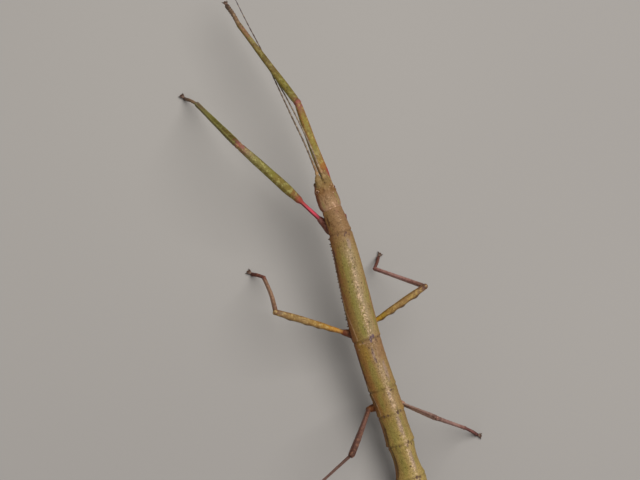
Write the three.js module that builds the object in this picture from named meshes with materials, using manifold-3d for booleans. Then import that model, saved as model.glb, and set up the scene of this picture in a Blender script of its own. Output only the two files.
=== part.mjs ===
// An adult female laboratory stick insect (Carausius morosus), standing still on a flat floor.
// Millimetres and degrees. The head points along -Y, the insect's left is +X and up is +Z.
// Every solid ends a little short of its neighbour, so the gaps fall where the real joints are.
import * as THREE from "three";
import { mergeVertices } from "three/addons/utils/BufferGeometryUtils.js";
import Module from "manifold-3d";

const wasm = await Module();
wasm.setup();

// ---------------------------------------------------------------- driving dimensions

const GAP = 0.3; // left open between two neighbouring solids
const EYE_GAP = 0.1; // the same round the small parts that sit on the head
const MIDDLE = [2.7, -3.79]; // middle of the footprint, in the coordinates used below

// The middle of the front of the head, and the trunk behind it, segment by segment.
// heading turns the segment to the left and slope lowers it, both towards the tail.
// Widths and heights are taken at the front, the middle and the rear of the segment.
const HEAD_FRONT = [-1.47, -24.98, 10.8];
const HEAD = { length: 4.6, heading: -1, slope: 7.5 };
const TRUNK = {
  pronotum: { length: 3.7, heading: -1, slope: 7.5, width: [3.1, 3.35, 3.6], height: [2.5, 2.8, 3.0] },
  mesothorax: { length: 16.9, heading: 5.5, slope: 7.5, width: [3.7, 4.4, 4.5], height: [3.0, 3.5, 3.85] },
  metathorax: { length: 7.9, heading: 1.3, slope: 7.5, width: [4.35, 4.4, 4.5], height: [3.75, 3.7, 3.8] },
  median_segment: { length: 4.1, heading: 0, slope: 7.5, width: [4.45, 4.3, 4.4], height: [3.8, 3.75, 3.85] },
  abdomen_2: { length: 4.8, heading: 1.5, slope: 7.5, width: [4.25, 4.2, 4.55], height: [3.85, 3.85, 4.1] },
  abdomen_3: { length: 5.4, heading: 2.5, slope: 7.5, width: [4.25, 3.75, 4.8], height: [3.95, 3.8, 4.2] },
  abdomen_4: { length: 6.0, heading: 2, slope: 6.5, width: [4.65, 4.55, 4.9], height: [4.15, 4.1, 4.3] },
  abdomen_5: { length: 6.0, heading: 1.5, slope: 5.5, width: [4.65, 4.5, 4.8], height: [4.15, 4.0, 4.15] },
  abdomen_6: { length: 6.0, heading: 1, slope: 4.5, width: [4.5, 4.3, 4.5], height: [4.0, 3.8, 3.9] },
  abdomen_7: { length: 5.5, heading: 0.5, slope: 4, width: [4.25, 4.0, 4.1], height: [3.75, 3.5, 3.4] },
  abdomen_8: { length: 4.0, heading: 0, slope: 3.5, width: [3.8, 3.5, 3.4], height: [3.2, 2.95, 2.8] },
  abdomen_9: { length: 3.0, heading: 0, slope: 3, width: [3.2, 3.0, 2.9], height: [2.65, 2.45, 2.35] },
  abdomen_10: { length: 3.0, heading: 0, slope: 3, width: [2.8, 2.55, 2.0], height: [2.25, 2.05, 1.5] },
};
const TRUNK_SIDES = 16;
const TRUNK_STEP = 1.6; // between two rings of a segment
const TRUNK_KEEL = 0.1; // rise of the blunt ridge along the back

// Head sections: how far back, the width there, and the top and bottom about the axis.
const HEAD_SECTIONS = [
  { at: 0.0, width: 2.1, top: 0.6, bottom: -0.8 },
  { at: 0.05, width: 2.7, top: 0.9, bottom: -1.05 },
  { at: 0.16, width: 3.1, top: 1.1, bottom: -1.2 },
  { at: 0.32, width: 3.4, top: 1.2, bottom: -1.3 },
  { at: 0.55, width: 3.6, top: 1.3, bottom: -1.3 },
  { at: 0.78, width: 3.65, top: 1.35, bottom: -1.3 },
  { at: 0.93, width: 3.45, top: 1.3, bottom: -1.2 },
  { at: 1.0, width: 2.8, top: 1.1, bottom: -1.05 },
];
const EYE = { radius: 0.44, back: 1.25, out: 1.45, up: 0.3 };

// Leg joints of the pose. hip is where the coxa meets the thigh; toe is the root of the claws.
// station says where along the trunk the coxa grows, and bow how far the thigh's middle leaves a straight line.
const LEGS = {
  fore_left: { kind: "fore", station: 7.3, hip: [0.3, -20.05, 8.7], knee: [10.1, -33.8, 13.9],
    ankle: [10.0, -44.95, 2.3], toe: [10.9, -46.9, 0.3], bow: [0, 0, 0.15] },
  fore_right: { kind: "fore", station: 7.3, hip: [-3.7, -19.4, 8.5], knee: [-3.0, -38.4, 10.1],
    ankle: [0.4, -54.0, 7.8], toe: [0.8, -57.7, 7.1], bow: [0.35, 0, 0] },
  mid_left: { kind: "mid", station: 24.2, hip: [2.7, -2.5, 6.2], knee: [13.0, -8.6, 10.2],
    ankle: [10.2, -15.1, 2.4], toe: [11.1, -16.4, 0.3], bow: [0, 0, 0.15] },
  mid_right: { kind: "mid", station: 24.2, hip: [-2.2, -2.2, 6.0], knee: [-10.4, -4.3, 12.1],
    ankle: [-8.0, -10.5, 2.0], toe: [-10.1, -12.2, 0.3], bow: [0, 0, 0.15] },
  hind_left: { kind: "hind", station: 35.6, hip: [2.9, 10.0, 4.6], knee: [11.1, 14.9, 13.2],
    ankle: [16.9, 18.7, 1.8], toe: [19.7, 21.1, 0.3], bow: [0, 0, 0.15] },
  hind_right: { kind: "hind", station: 35.6, hip: [-2.95, 11.2, 4.0], knee: [-2.6, 14.75, 15.3],
    ankle: [-12.0, 18.5, 2.5], toe: [-14.45, 20.3, 0.3], bow: [0, 0, 0] },
};
// Widths and depths along each leg part, from its root at 0 to its end at 1.
const THIGH = {
  fore: [[0, 0.66, 0.62], [0.235, 0.6, 0.6], [0.28, 1.1, 0.85], [0.42, 1.45, 1.05], [0.75, 1.3, 1],
    [1, 1.05, 0.9]],
  mid: [[0, 0.62, 0.62], [0.15, 0.72, 0.7], [0.4, 0.92, 0.88], [0.7, 1.0, 0.95], [1, 0.96, 0.9]],
  hind: [[0, 0.6, 0.6], [0.2, 0.58, 0.6], [0.5, 0.68, 0.74], [0.8, 0.8, 0.88], [1, 0.84, 0.86]],
};
const SHIN = {
  fore: [[0, 0.98, 0.84], [0.2, 1.02, 0.8], [0.5, 0.86, 0.7], [0.85, 0.68, 0.62], [1, 0.64, 0.6]],
  mid: [[0, 0.74, 0.72], [0.2, 0.68, 0.66], [0.7, 0.6, 0.58], [1, 0.58, 0.56]],
  hind: [[0, 0.68, 0.68], [0.2, 0.58, 0.58], [0.7, 0.52, 0.52], [1, 0.54, 0.54]],
};
const FOOT = {
  fore: [[0, 0.62, 0.56], [0.35, 0.6, 0.54], [0.7, 0.6, 0.54], [1, 0.66, 0.58]],
  mid: [[0, 0.54, 0.54], [0.35, 0.52, 0.5], [0.7, 0.54, 0.5], [1, 0.62, 0.56]],
  hind: [[0, 0.52, 0.52], [0.35, 0.5, 0.5], [0.7, 0.52, 0.5], [1, 0.6, 0.56]],
};
const COXA = { inside: 0.9, out: 1.0, root: 1.7, tip: 0.95 }; // it starts inside the trunk and is cut back
const FOOT_ARCH = 0.25; // how far the foot arches up between ankle and toe
const LEG_SIDES = 8;
const ROUND_END = [[0.9, 0.45], [0.6, 0.8]]; // beyond a limb's end: how far, in half depths, and how wide

// Small teeth under the mid thighs, turned tailward from straight down.
const LOBES = { at: [0.2, 0.38, 0.56, 0.8], length: 1.1, width: 0.4, depth: 0.3, out: 0.36, turn: 40 };

// Claws and the pad between them.
const PAD = { radius: 0.37, length: 0.22 };
const CLAW = { root: 0.18, tip: 0.1, length: 0.62, spread: 34, droop: 14 };

// Feelers: the stem's two ends, then the points of the thread.
const STEM = [[0, 1.2, 0.7], [0.4, 1.32, 0.72], [0.6, 1.1, 0.66], [0.8, 0.7, 0.56], [1, 0.6, 0.54]];
const THREAD_WIDTH = { root: 0.54, tip: 0.5 };
const THREAD_STEPS = 17;
const ANTENNAE = {
  left: {
    stem: [[-0.65, -24.3, 11.35], [-1.1, -26.8, 11.25]],
    thread: [[-1.1, -26.8, 11.25], [-1.15, -31.6, 11.0], [-1.2, -36.0, 10.2], [-1.4, -40.6, 9.1],
      [-1.6, -44.6, 8.1], [-1.8, -48.8, 7.3], [-1.6, -54.0, 6.5], [-1.3, -59.0, 6.2], [-1.1, -64.0, 6.2]],
  },
  right: {
    stem: [[-2.15, -24.1, 11.25], [-2.0, -27.0, 11.0]],
    thread: [[-2.0, -27.0, 11.0], [-2.0, -30.3, 10.8], [-1.9, -34.0, 10.6], [-1.95, -38.3, 9.6],
      [-2.05, -42.0, 8.3], [-2.15, -45.2, 7.1], [-2.0, -48.7, 6.2], [-1.45, -51.7, 5.6], [-0.85, -54.3, 5.2],
      [-0.2, -58.1, 4.8]],
  },
};

// Small parts at the two ends of the body.
const MOUTH = { back: 0.2, down: 1.15, width: 1.8, height: 1.0, length: 1.5 };
const PALP = { root: { back: 0.5, out: 0.5, up: -1.3 }, tip: { back: 0, out: 0.6, up: -2.05 } };
const PALP_WIDTH = 0.52;
const CERCUS = { root: 0.6, tip: 0.51, length: 1.5, inside: 0.4, out: 0.62, up: 0.2, splay: 10 };
// The plate's belly follows a stretch of a half sine wave; a fullness under 1 makes it rounder.
const PLATE = { from: 70.2, to: 79.2, width: 2.4, depth: [0.62, 1], top: -0.3, steps: 7 };
const PLATE_BELLY = { from: 0.08, to: 0.86, fullness: 0.6 };
const PLATE_SINK = 0.12; // how far the plate's belly would pass the floor, and is cut flat there

// ---------------------------------------------------------------- materials

const paint = (color, roughness) => new THREE.MeshStandardMaterial({ color, roughness, metalness: 0 });
const SHELL = paint(0x7d7436, 0.6);
const SHELL_DARK = paint(0x4a3a24, 0.65);
const GREEN = paint(0x8a8f3a, 0.55);
const BROWN = paint(0x6b5440, 0.6);
const DARK = paint(0x2f2420, 0.5);
const EYE_PAINT = paint(0xb9a46a, 0.25);
const THIGH_PAINT = { fore: GREEN, mid: paint(0x9a8a2e, 0.55), hind: BROWN };
const SHIN_PAINT = { fore: GREEN, mid: paint(0x77703c, 0.6), hind: BROWN };

// ---------------------------------------------------------------- vectors, sections and solids

const vec = (p) => new THREE.Vector3(...p);
const lerp = THREE.MathUtils.lerp;
const radians = THREE.MathUtils.degToRad;
const UP = new THREE.Vector3(0, 0, 1);

// A smooth value through three samples at 0, 1/2 and 1.
function through([front, middle, rear], t) {
  return front * (1 - t) * (1 - 2 * t) + middle * 4 * t * (1 - t) + rear * t * (2 * t - 1);
}

// Width and depth at t from rows of [t, width, depth], eased between the rows.
function profileAt(rows, t) {
  const after = Math.max(1, rows.findIndex((row) => row[0] >= t));
  const [t0, width0, depth0] = rows[after - 1];
  const [t1, width1, depth1] = rows[after];
  const share = THREE.MathUtils.smoothstep(t, t0, t1);
  return [lerp(width0, width1, share), lerp(depth0, depth1, share)];
}

// Joins rings of points, each with the same count, into one closed surface with pointed or flat ends.
function closedLoft(rings) {
  const sides = rings[0].length;
  const positions = [];
  const index = [];
  const centreOf = (ring) => ring.reduce((sum, p) => sum.add(p), new THREE.Vector3()).divideScalar(sides);
  rings.forEach((ring) => ring.forEach((p) => positions.push(p.x, p.y, p.z)));
  for (let r = 0; r + 1 < rings.length; r++) {
    for (let i = 0; i < sides; i++) {
      const a = r * sides + i;
      const b = r * sides + ((i + 1) % sides);
      index.push(a, b, a + sides, b, b + sides, a + sides);
    }
  }
  [rings[0], rings[rings.length - 1]].forEach((ring, end) => {
    const centre = centreOf(ring);
    const hub = positions.length / 3;
    const base = end * (rings.length - 1) * sides;
    positions.push(centre.x, centre.y, centre.z);
    for (let i = 0; i < sides; i++) {
      const a = base + i;
      const b = base + ((i + 1) % sides);
      index.push(...(end ? [hub, a, b] : [hub, b, a]));
    }
  });
  const geometry = new THREE.BufferGeometry();
  geometry.setAttribute("position", new THREE.Float32BufferAttribute(positions, 3));
  geometry.setIndex(index);
  return geometry;
}

// A manifold solid from any closed geometry, turned the right way out.
function solid(geometry) {
  const bare = geometry.clone();
  bare.deleteAttribute("normal");
  bare.deleteAttribute("uv");
  const merged = mergeVertices(bare, 1e-4);
  const vertProperties = new Float32Array(merged.attributes.position.array);
  const triVerts = new Uint32Array(merged.index.array);
  const made = new wasm.Manifold(new wasm.Mesh({ numProp: 3, vertProperties, triVerts }));
  if (made.volume() > 0) return made;
  for (let i = 0; i < triVerts.length; i += 3) [triVerts[i], triVerts[i + 1]] = [triVerts[i + 1], triVerts[i]];
  return new wasm.Manifold(new wasm.Mesh({ numProp: 3, vertProperties, triVerts }));
}

// Everything on the far side of a plane, as a big block, for cutting away.
function farSide(point, normal) {
  const size = 200;
  const block = new THREE.BoxGeometry(size, size, size);
  block.translate(0, 0, size / 2);
  block.applyQuaternion(new THREE.Quaternion().setFromUnitVectors(UP, normal));
  block.translate(point.x, point.y, point.z);
  return solid(block);
}

const insect = new THREE.Group();
insect.position.set(-MIDDLE[0], -MIDDLE[1], 0);

function addPart(name, made, material) {
  const { vertProperties, triVerts } = made.getMesh();
  const geometry = new THREE.BufferGeometry();
  geometry.setAttribute("position", new THREE.Float32BufferAttribute(vertProperties, 3));
  geometry.setIndex(new THREE.BufferAttribute(triVerts, 1));
  geometry.computeVertexNormals();
  const mesh = new THREE.Mesh(geometry, material);
  mesh.name = name;
  insect.add(mesh);
}

// ---------------------------------------------------------------- trunk

// The joints of the trunk, front to rear, found by walking along its segments.
function spineJoints() {
  const joints = [vec(HEAD_FRONT)];
  [HEAD, ...Object.values(TRUNK)].forEach(({ length, heading, slope }) => {
    const step = new THREE.Vector3(0, length, 0);
    step.applyAxisAngle(new THREE.Vector3(1, 0, 0), -radians(slope));
    step.applyAxisAngle(UP, -radians(heading));
    joints.push(joints[joints.length - 1].clone().add(step));
  });
  return joints;
}

const spine = new THREE.CatmullRomCurve3(spineJoints(), false, "centripetal");
const spineLength = spine.getLength();

// A point of the trunk's axis and the directions across, up and along, at a distance from the front.
function spineFrame(station) {
  const u = THREE.MathUtils.clamp(station / spineLength, 0, 1);
  const along = spine.getTangentAt(u);
  const across = new THREE.Vector3().crossVectors(along, UP).normalize();
  const up = new THREE.Vector3().crossVectors(across, along);
  return { at: spine.getPointAt(u), across, up, along };
}

// One ring round the axis. top and bottom are measured from the axis.
function ringAt({ at, across, up }, width, top, bottom, sides, keel = 0) {
  return Array.from({ length: sides }, (_, i) => {
    const angle = (2 * Math.PI * (i + 0.5)) / sides;
    const rise = Math.sin(angle);
    const height = rise > 0 ? rise * top + keel * rise ** 6 : -rise * bottom;
    return at.clone().addScaledVector(across, (width / 2) * Math.cos(angle)).addScaledVector(up, height);
  });
}

function trunkRings(segment, start, end, grow) {
  const steps = Math.max(4, Math.round(segment.length / TRUNK_STEP));
  return Array.from({ length: steps + 1 }, (_, i) => {
    const t = i / steps;
    const half = through(segment.height, t) / 2 + grow;
    const width = through(segment.width, t) + 2 * grow;
    return ringAt(spineFrame(lerp(start, end, t)), width, half, -half, TRUNK_SIDES, TRUNK_KEEL);
  });
}

function addTrunk() {
  let start = HEAD.length;
  Object.entries(TRUNK).forEach(([name, segment]) => {
    const end = start + segment.length;
    addPart(name, solid(closedLoft(trunkRings(segment, start + GAP / 2, end - GAP / 2, 0))), SHELL);
    start = end;
  });
}

// The whole trunk, fatter by the given amount, for cutting parts that lie against it.
function grownTrunk(grow) {
  let start = HEAD.length;
  const rings = Object.values(TRUNK).flatMap((segment) => {
    const made = trunkRings(segment, start + 0.01, start + segment.length - 0.01, grow);
    start += segment.length;
    return made;
  });
  return solid(closedLoft(rings));
}

// ---------------------------------------------------------------- head

function headRings(grow) {
  return HEAD_SECTIONS.map(({ at, width, top, bottom }) => {
    const station = lerp(-grow, HEAD.length - GAP / 2 + grow, at);
    const frame = spineFrame(station);
    frame.at.addScaledVector(frame.along, Math.min(station, 0));
    return ringAt(frame, width + 2 * grow, top + grow, bottom - grow, TRUNK_SIDES);
  });
}

// A point of the head's frame: back from the front, out to the left (or right) and up.
function headPoint(back, out, up) {
  const frame = spineFrame(back);
  frame.at.addScaledVector(frame.along, Math.min(back, 0));
  return frame.at.addScaledVector(frame.across, out).addScaledVector(frame.up, up);
}

function addEyes(grownHead) {
  [["eye_left", 1], ["eye_right", -1]].forEach(([name, side]) => {
    const ball = new THREE.SphereGeometry(EYE.radius, 12, 8);
    const centre = headPoint(EYE.back, side * EYE.out, EYE.up);
    ball.translate(centre.x, centre.y, centre.z);
    addPart(name, solid(ball).subtract(grownHead), EYE_PAINT);
  });
}

// Lips and jaws under the front of the head, with a short palp hanging at each side.
function addMouthparts(grownHead) {
  const lip = new THREE.SphereGeometry(0.5, 8, 6);
  lip.scale(MOUTH.width, MOUTH.length, MOUTH.height);
  lip.rotateX(-radians(HEAD.slope));
  const centre = headPoint(MOUTH.back, 0, -MOUTH.down);
  lip.translate(centre.x, centre.y, centre.z);
  const palps = [1, -1].map((side) => {
    const [root, tip] = [PALP.root, PALP.tip].map(({ back, out, up }) => headPoint(back, side * out, up));
    return limbSolid([root, tip], [[0, PALP_WIDTH, PALP_WIDTH], [1, PALP_WIDTH, PALP_WIDTH]], 1, 6);
  });
  const mouth = palps.reduce((sum, palp) => sum.add(palp), solid(lip)).subtract(grownHead);
  addPart("mouthparts", mouth, SHELL_DARK);
}

// ---------------------------------------------------------------- limbs

// Directions across a limb that do not twist along it.
function limbFrame(curve, u, reference) {
  const along = curve.getTangentAt(u);
  const across = new THREE.Vector3().crossVectors(along, reference).normalize();
  return { at: curve.getPointAt(u), across, up: new THREE.Vector3().crossVectors(across, along), along };
}

// A round-ended limb along a smooth line through points, with rows of [t, width, depth].
function limbSolid(points, rows, steps, sides = LEG_SIDES) {
  const curve = points.length > 2
    ? new THREE.CatmullRomCurve3(points, false, "centripetal")
    : new THREE.LineCurve3(points[0], points[1]);
  const overall = points[points.length - 1].clone().sub(points[0]).normalize();
  const reference = Math.abs(overall.z) > 0.85 ? new THREE.Vector3(0, 1, 0) : UP;
  const ring = (u, outwards, share) => {
    const [width, depth] = profileAt(rows, u);
    const frame = limbFrame(curve, u, reference);
    frame.at.addScaledVector(frame.along, (outwards * depth) / 2);
    return ringAt(frame, width * share, (depth * share) / 2, (-depth * share) / 2, sides);
  };
  const rings = ROUND_END.map(([out, share]) => ring(0, -out, share));
  for (let i = 0; i <= steps; i++) rings.push(ring(i / steps, 0, 1));
  [...ROUND_END].reverse().forEach(([out, share]) => rings.push(ring(1, out, share)));
  return solid(closedLoft(rings));
}

// Cuts the end of a limb at a joint, on the plane that halves the bend, and leaves half a gap.
function cutAtJoint(made, before, joint, after, keepsBefore) {
  const inward = joint.clone().sub(before).normalize();
  const onward = after.clone().sub(joint).normalize();
  const normal = inward.add(onward).normalize();
  if (!keepsBefore) normal.negate();
  return made.subtract(farSide(joint.clone().addScaledVector(normal, -GAP / 2), normal));
}

// A line whose middle is moved by the bow, so that the limb arches.
const bowed = (from, to, bow) => [from, from.clone().lerp(to, 0.5).add(bow), to];

// Small teeth along the lower, tailward edge of a mid thigh.
function thighLobes(hip, knee) {
  const along = knee.clone().sub(hip).normalize();
  const down = new THREE.Vector3(0, 0, -1).addScaledVector(along, along.z).normalize();
  const tailward = new THREE.Vector3().crossVectors(along, down);
  if (tailward.y < 0) tailward.negate();
  const turn = radians(LOBES.turn);
  const way = down.multiplyScalar(Math.cos(turn)).addScaledVector(tailward, Math.sin(turn));
  const facing = new THREE.Matrix4().makeBasis(new THREE.Vector3().crossVectors(way, along), way, along);
  return LOBES.at.map((share) => {
    const lobe = new THREE.OctahedronGeometry(1);
    lobe.scale(LOBES.width / 2, LOBES.depth, LOBES.length / 2);
    lobe.applyMatrix4(facing);
    const middle = hip.clone().lerp(knee, share).addScaledVector(way, LOBES.out);
    lobe.translate(middle.x, middle.y, middle.z);
    return solid(lobe);
  });
}

const floorBelow = farSide(new THREE.Vector3(), new THREE.Vector3(0, 0, -1));

// Two claws that spread and droop from a round pad, flat where they stand on the floor.
function clawsSolid(ankle, toe) {
  const onward = toe.clone().sub(ankle).setZ(0).normalize();
  const pad = new THREE.SphereGeometry(PAD.radius, 8, 6);
  const middle = toe.clone().addScaledVector(onward, GAP + PAD.length);
  pad.translate(middle.x, middle.y, middle.z);
  const claws = [1, -1].map((side) => {
    const way = onward.clone().applyAxisAngle(UP, side * radians(CLAW.spread));
    const tip = middle.clone().addScaledVector(way, CLAW.length);
    tip.z -= CLAW.length * Math.sin(radians(CLAW.droop));
    const rows = [[0, 2 * CLAW.root, 2 * CLAW.root], [1, 2 * CLAW.tip, 2 * CLAW.tip]];
    return limbSolid([middle, tip], rows, 1, 5);
  });
  return claws.reduce((sum, claw) => sum.add(claw), solid(pad)).subtract(floorBelow);
}

function coxaSolid({ station, hip, knee }, trunk) {
  const frame = spineFrame(station);
  const side = Math.sign(vec(hip).sub(frame.at).dot(frame.across));
  const inner = frame.at.clone().addScaledVector(frame.up, -COXA.inside);
  inner.addScaledVector(frame.across, side * COXA.out);
  const rows = [[0, COXA.root, COXA.root], [1, COXA.tip, COXA.tip]];
  const made = limbSolid([inner, vec(hip)], rows, 3, 10).subtract(trunk);
  return cutAtJoint(made, inner, vec(hip), vec(knee), true);
}

function addLeg(name, leg, trunk) {
  const [hip, knee, ankle, toe] = [leg.hip, leg.knee, leg.ankle, leg.toe].map(vec);
  const inner = spineFrame(leg.station).at;
  addPart(`coxa_${name}`, coxaSolid(leg, trunk), SHELL_DARK);

  let thigh = limbSolid(bowed(hip, knee, vec(leg.bow)), THIGH[leg.kind], 9);
  if (leg.kind === "mid") thigh = thighLobes(hip, knee).reduce((sum, lobe) => sum.add(lobe), thigh);
  thigh = cutAtJoint(thigh, inner, hip, knee, false);
  thigh = cutAtJoint(thigh, hip, knee, ankle, true).subtract(trunk);
  addPart(`femur_${name}`, thigh, THIGH_PAINT[leg.kind]);

  let shin = limbSolid([knee, ankle], SHIN[leg.kind], 4);
  shin = cutAtJoint(shin, hip, knee, ankle, false);
  shin = cutAtJoint(shin, knee, ankle, toe, true);
  addPart(`tibia_${name}`, shin, SHIN_PAINT[leg.kind]);

  const claws = clawsSolid(ankle, toe);
  const arch = new THREE.Vector3(0, 0, FOOT_ARCH);
  let foot = limbSolid(bowed(ankle, toe, arch), FOOT[leg.kind], 6).subtract(floorBelow);
  foot = cutAtJoint(foot, knee, ankle, toe, false);
  const tip = toe.clone().sub(ankle).setZ(0).normalize();
  foot = foot.subtract(farSide(toe, tip));
  addPart(`tarsus_${name}`, foot, BROWN);
  const pastToe = toe.clone().addScaledVector(tip, GAP);
  addPart(`claws_${name}`, claws.subtract(farSide(pastToe, tip.negate())), DARK);
}

// ---------------------------------------------------------------- feelers

function addAntenna(side, { stem, thread }, grownHead) {
  const [root, joint] = stem.map(vec);
  const points = thread.map(vec);
  const base = limbSolid([root, joint], STEM, 6).subtract(grownHead);
  addPart(`antenna_base_${side}`, cutAtJoint(base, root, joint, points[1], true), SHELL);
  const { root: thick, tip: thin } = THREAD_WIDTH;
  const rows = [[0, thick, thick], [1, thin, thin]];
  const whip = limbSolid(points, rows, THREAD_STEPS, 5);
  addPart(`antenna_${side}`, cutAtJoint(whip, root, joint, points[1], false), BROWN);
}

// ---------------------------------------------------------------- tail

function addCerci(grownTail) {
  const { at, across, up, along } = spineFrame(spineLength);
  [["cercus_left", 1], ["cercus_right", -1]].forEach(([name, side]) => {
    const root = at.clone().addScaledVector(across, side * CERCUS.out).addScaledVector(up, CERCUS.up);
    root.addScaledVector(along, -CERCUS.inside);
    const way = along.clone().applyAxisAngle(UP, -side * radians(CERCUS.splay));
    const tip = root.clone().addScaledVector(way, CERCUS.length);
    const made = limbSolid([root, tip], [[0, CERCUS.root, CERCUS.root], [1, CERCUS.tip, CERCUS.tip]], 3);
    addPart(name, made.subtract(grownTail), SHELL);
  });
}

// The boat-shaped plate under the end of the abdomen. It carries the tail on a narrow flat.
function addKeelPlate(trunk) {
  const rings = Array.from({ length: PLATE.steps + 1 }, (_, i) => {
    const t = i / PLATE.steps;
    const frame = spineFrame(lerp(PLATE.from, PLATE.to, t));
    const swell = Math.sin(Math.PI * lerp(PLATE_BELLY.from, PLATE_BELLY.to, t)) ** PLATE_BELLY.fullness;
    const depth = (frame.at.z + PLATE_SINK) * lerp(...PLATE.depth, swell);
    return ringAt(frame, PLATE.width * swell, PLATE.top, -depth, 12);
  });
  addPart("subgenital_plate", solid(closedLoft(rings)).subtract(trunk).subtract(floorBelow), SHELL_DARK);
}

// ---------------------------------------------------------------- the whole insect

const headSolid = solid(closedLoft(headRings(0)));
const headGrown = solid(closedLoft(headRings(EYE_GAP)));
const trunkGrown = grownTrunk(GAP);

addPart("head", headSolid, SHELL);
addEyes(headGrown);
addMouthparts(headGrown);
Object.entries(ANTENNAE).forEach(([side, antenna]) => addAntenna(side, antenna, headGrown));
addTrunk();
Object.entries(LEGS).forEach(([name, leg]) => addLeg(name, leg, trunkGrown));
addKeelPlate(trunkGrown);
addCerci(trunkGrown);

const part = new THREE.Group();
part.add(insect);
export default part;
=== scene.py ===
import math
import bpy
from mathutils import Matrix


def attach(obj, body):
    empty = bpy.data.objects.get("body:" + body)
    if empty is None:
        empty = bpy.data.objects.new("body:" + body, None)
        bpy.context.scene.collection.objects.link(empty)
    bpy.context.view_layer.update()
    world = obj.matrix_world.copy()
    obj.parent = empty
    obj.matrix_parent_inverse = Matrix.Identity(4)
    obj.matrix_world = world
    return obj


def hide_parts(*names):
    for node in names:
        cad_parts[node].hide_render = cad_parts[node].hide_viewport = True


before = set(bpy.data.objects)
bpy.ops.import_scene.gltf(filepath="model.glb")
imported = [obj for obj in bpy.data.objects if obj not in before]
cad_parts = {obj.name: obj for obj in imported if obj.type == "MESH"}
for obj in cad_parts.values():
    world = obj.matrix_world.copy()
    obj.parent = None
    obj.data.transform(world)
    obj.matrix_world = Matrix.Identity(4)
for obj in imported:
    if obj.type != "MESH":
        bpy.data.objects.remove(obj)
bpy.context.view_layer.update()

# The looks of an adult female laboratory stick insect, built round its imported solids.
# Shapes are worked out in millimetres in the insect's own coordinates: the head points along -Y, its left is +X
# and up is +Z. in_frame() turns a point into the frame's metres. Angles round a section, called turns, are
# measured from the top, positive towards the insect's left.
from types import SimpleNamespace

import bpy
import numpy as np
from mathutils import Matrix, Vector

chance = np.random.default_rng(7)

# ---------------------------------------------------------------- driving dimensions, as in the solids

MM = 0.001
MIDDLE = np.array([2.7, -3.79, 0])
UP = np.array([0.0, 0.0, 1.0])
TAILWARD = np.array([0.0, 1.0, 0.0])
DEGREE = math.pi / 180

# The camera looks at a point 8 mm above the floor, from the insect's left and behind its head.
CAMERA = {"aim": (1.26, -17.02, 8.0), "distance": 193.1, "towards": (0.3605, 0.1236, 0.9245), "lens": 70, "sensor": 36}
CAMERA_UP = (-0.3043, -0.9214, 0.2418)

HEAD_FRONT = (-1.47, -24.98, 10.8)
HEAD = {"length": 4.6, "heading": -1, "slope": 7.5}
# length, heading and slope, then the widths and the heights at the front, the middle and the rear.
TRUNK = {
    "pronotum": (3.7, -1, 7.5, (3.1, 3.35, 3.6), (2.5, 2.8, 3.0)),
    "mesothorax": (16.9, 5.5, 7.5, (3.7, 4.4, 4.5), (3.0, 3.5, 3.85)),
    "metathorax": (7.9, 1.3, 7.5, (4.35, 4.4, 4.5), (3.75, 3.7, 3.8)),
    "median_segment": (4.1, 0, 7.5, (4.45, 4.3, 4.4), (3.8, 3.75, 3.85)),
    "abdomen_2": (4.8, 1.5, 7.5, (4.25, 4.2, 4.55), (3.85, 3.85, 4.1)),
    "abdomen_3": (5.4, 2.5, 7.5, (4.25, 3.75, 4.8), (3.95, 3.8, 4.2)),
    "abdomen_4": (6.0, 2, 6.5, (4.65, 4.55, 4.9), (4.15, 4.1, 4.3)),
    "abdomen_5": (6.0, 1.5, 5.5, (4.65, 4.5, 4.8), (4.15, 4.0, 4.15)),
    "abdomen_6": (6.0, 1, 4.5, (4.5, 4.3, 4.5), (4.0, 3.8, 3.9)),
    "abdomen_7": (5.5, 0.5, 4, (4.25, 4.0, 4.1), (3.75, 3.5, 3.4)),
    "abdomen_8": (4.0, 0, 3.5, (3.8, 3.5, 3.4), (3.2, 2.95, 2.8)),
    "abdomen_9": (3.0, 0, 3, (3.2, 3.0, 2.9), (2.65, 2.45, 2.35)),
    "abdomen_10": (3.0, 0, 3, (2.8, 2.55, 2.0), (2.25, 2.05, 1.5)),
}
# Head sections: how far back, the width there, and the top and bottom about the axis.
HEAD_SECTIONS = np.array([
    (0.0, 2.1, 0.6, 0.8), (0.05, 2.7, 0.9, 1.05), (0.16, 3.1, 1.1, 1.2), (0.32, 3.4, 1.2, 1.3),
    (0.55, 3.6, 1.3, 1.3), (0.78, 3.65, 1.35, 1.3), (0.93, 3.45, 1.3, 1.2), (1.0, 2.8, 1.1, 1.05),
])
EYE = {"radius": 0.42, "back": 1.2, "out": 1.27, "up": 0.36, "tilt": 50, "forwards": 0}

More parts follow.
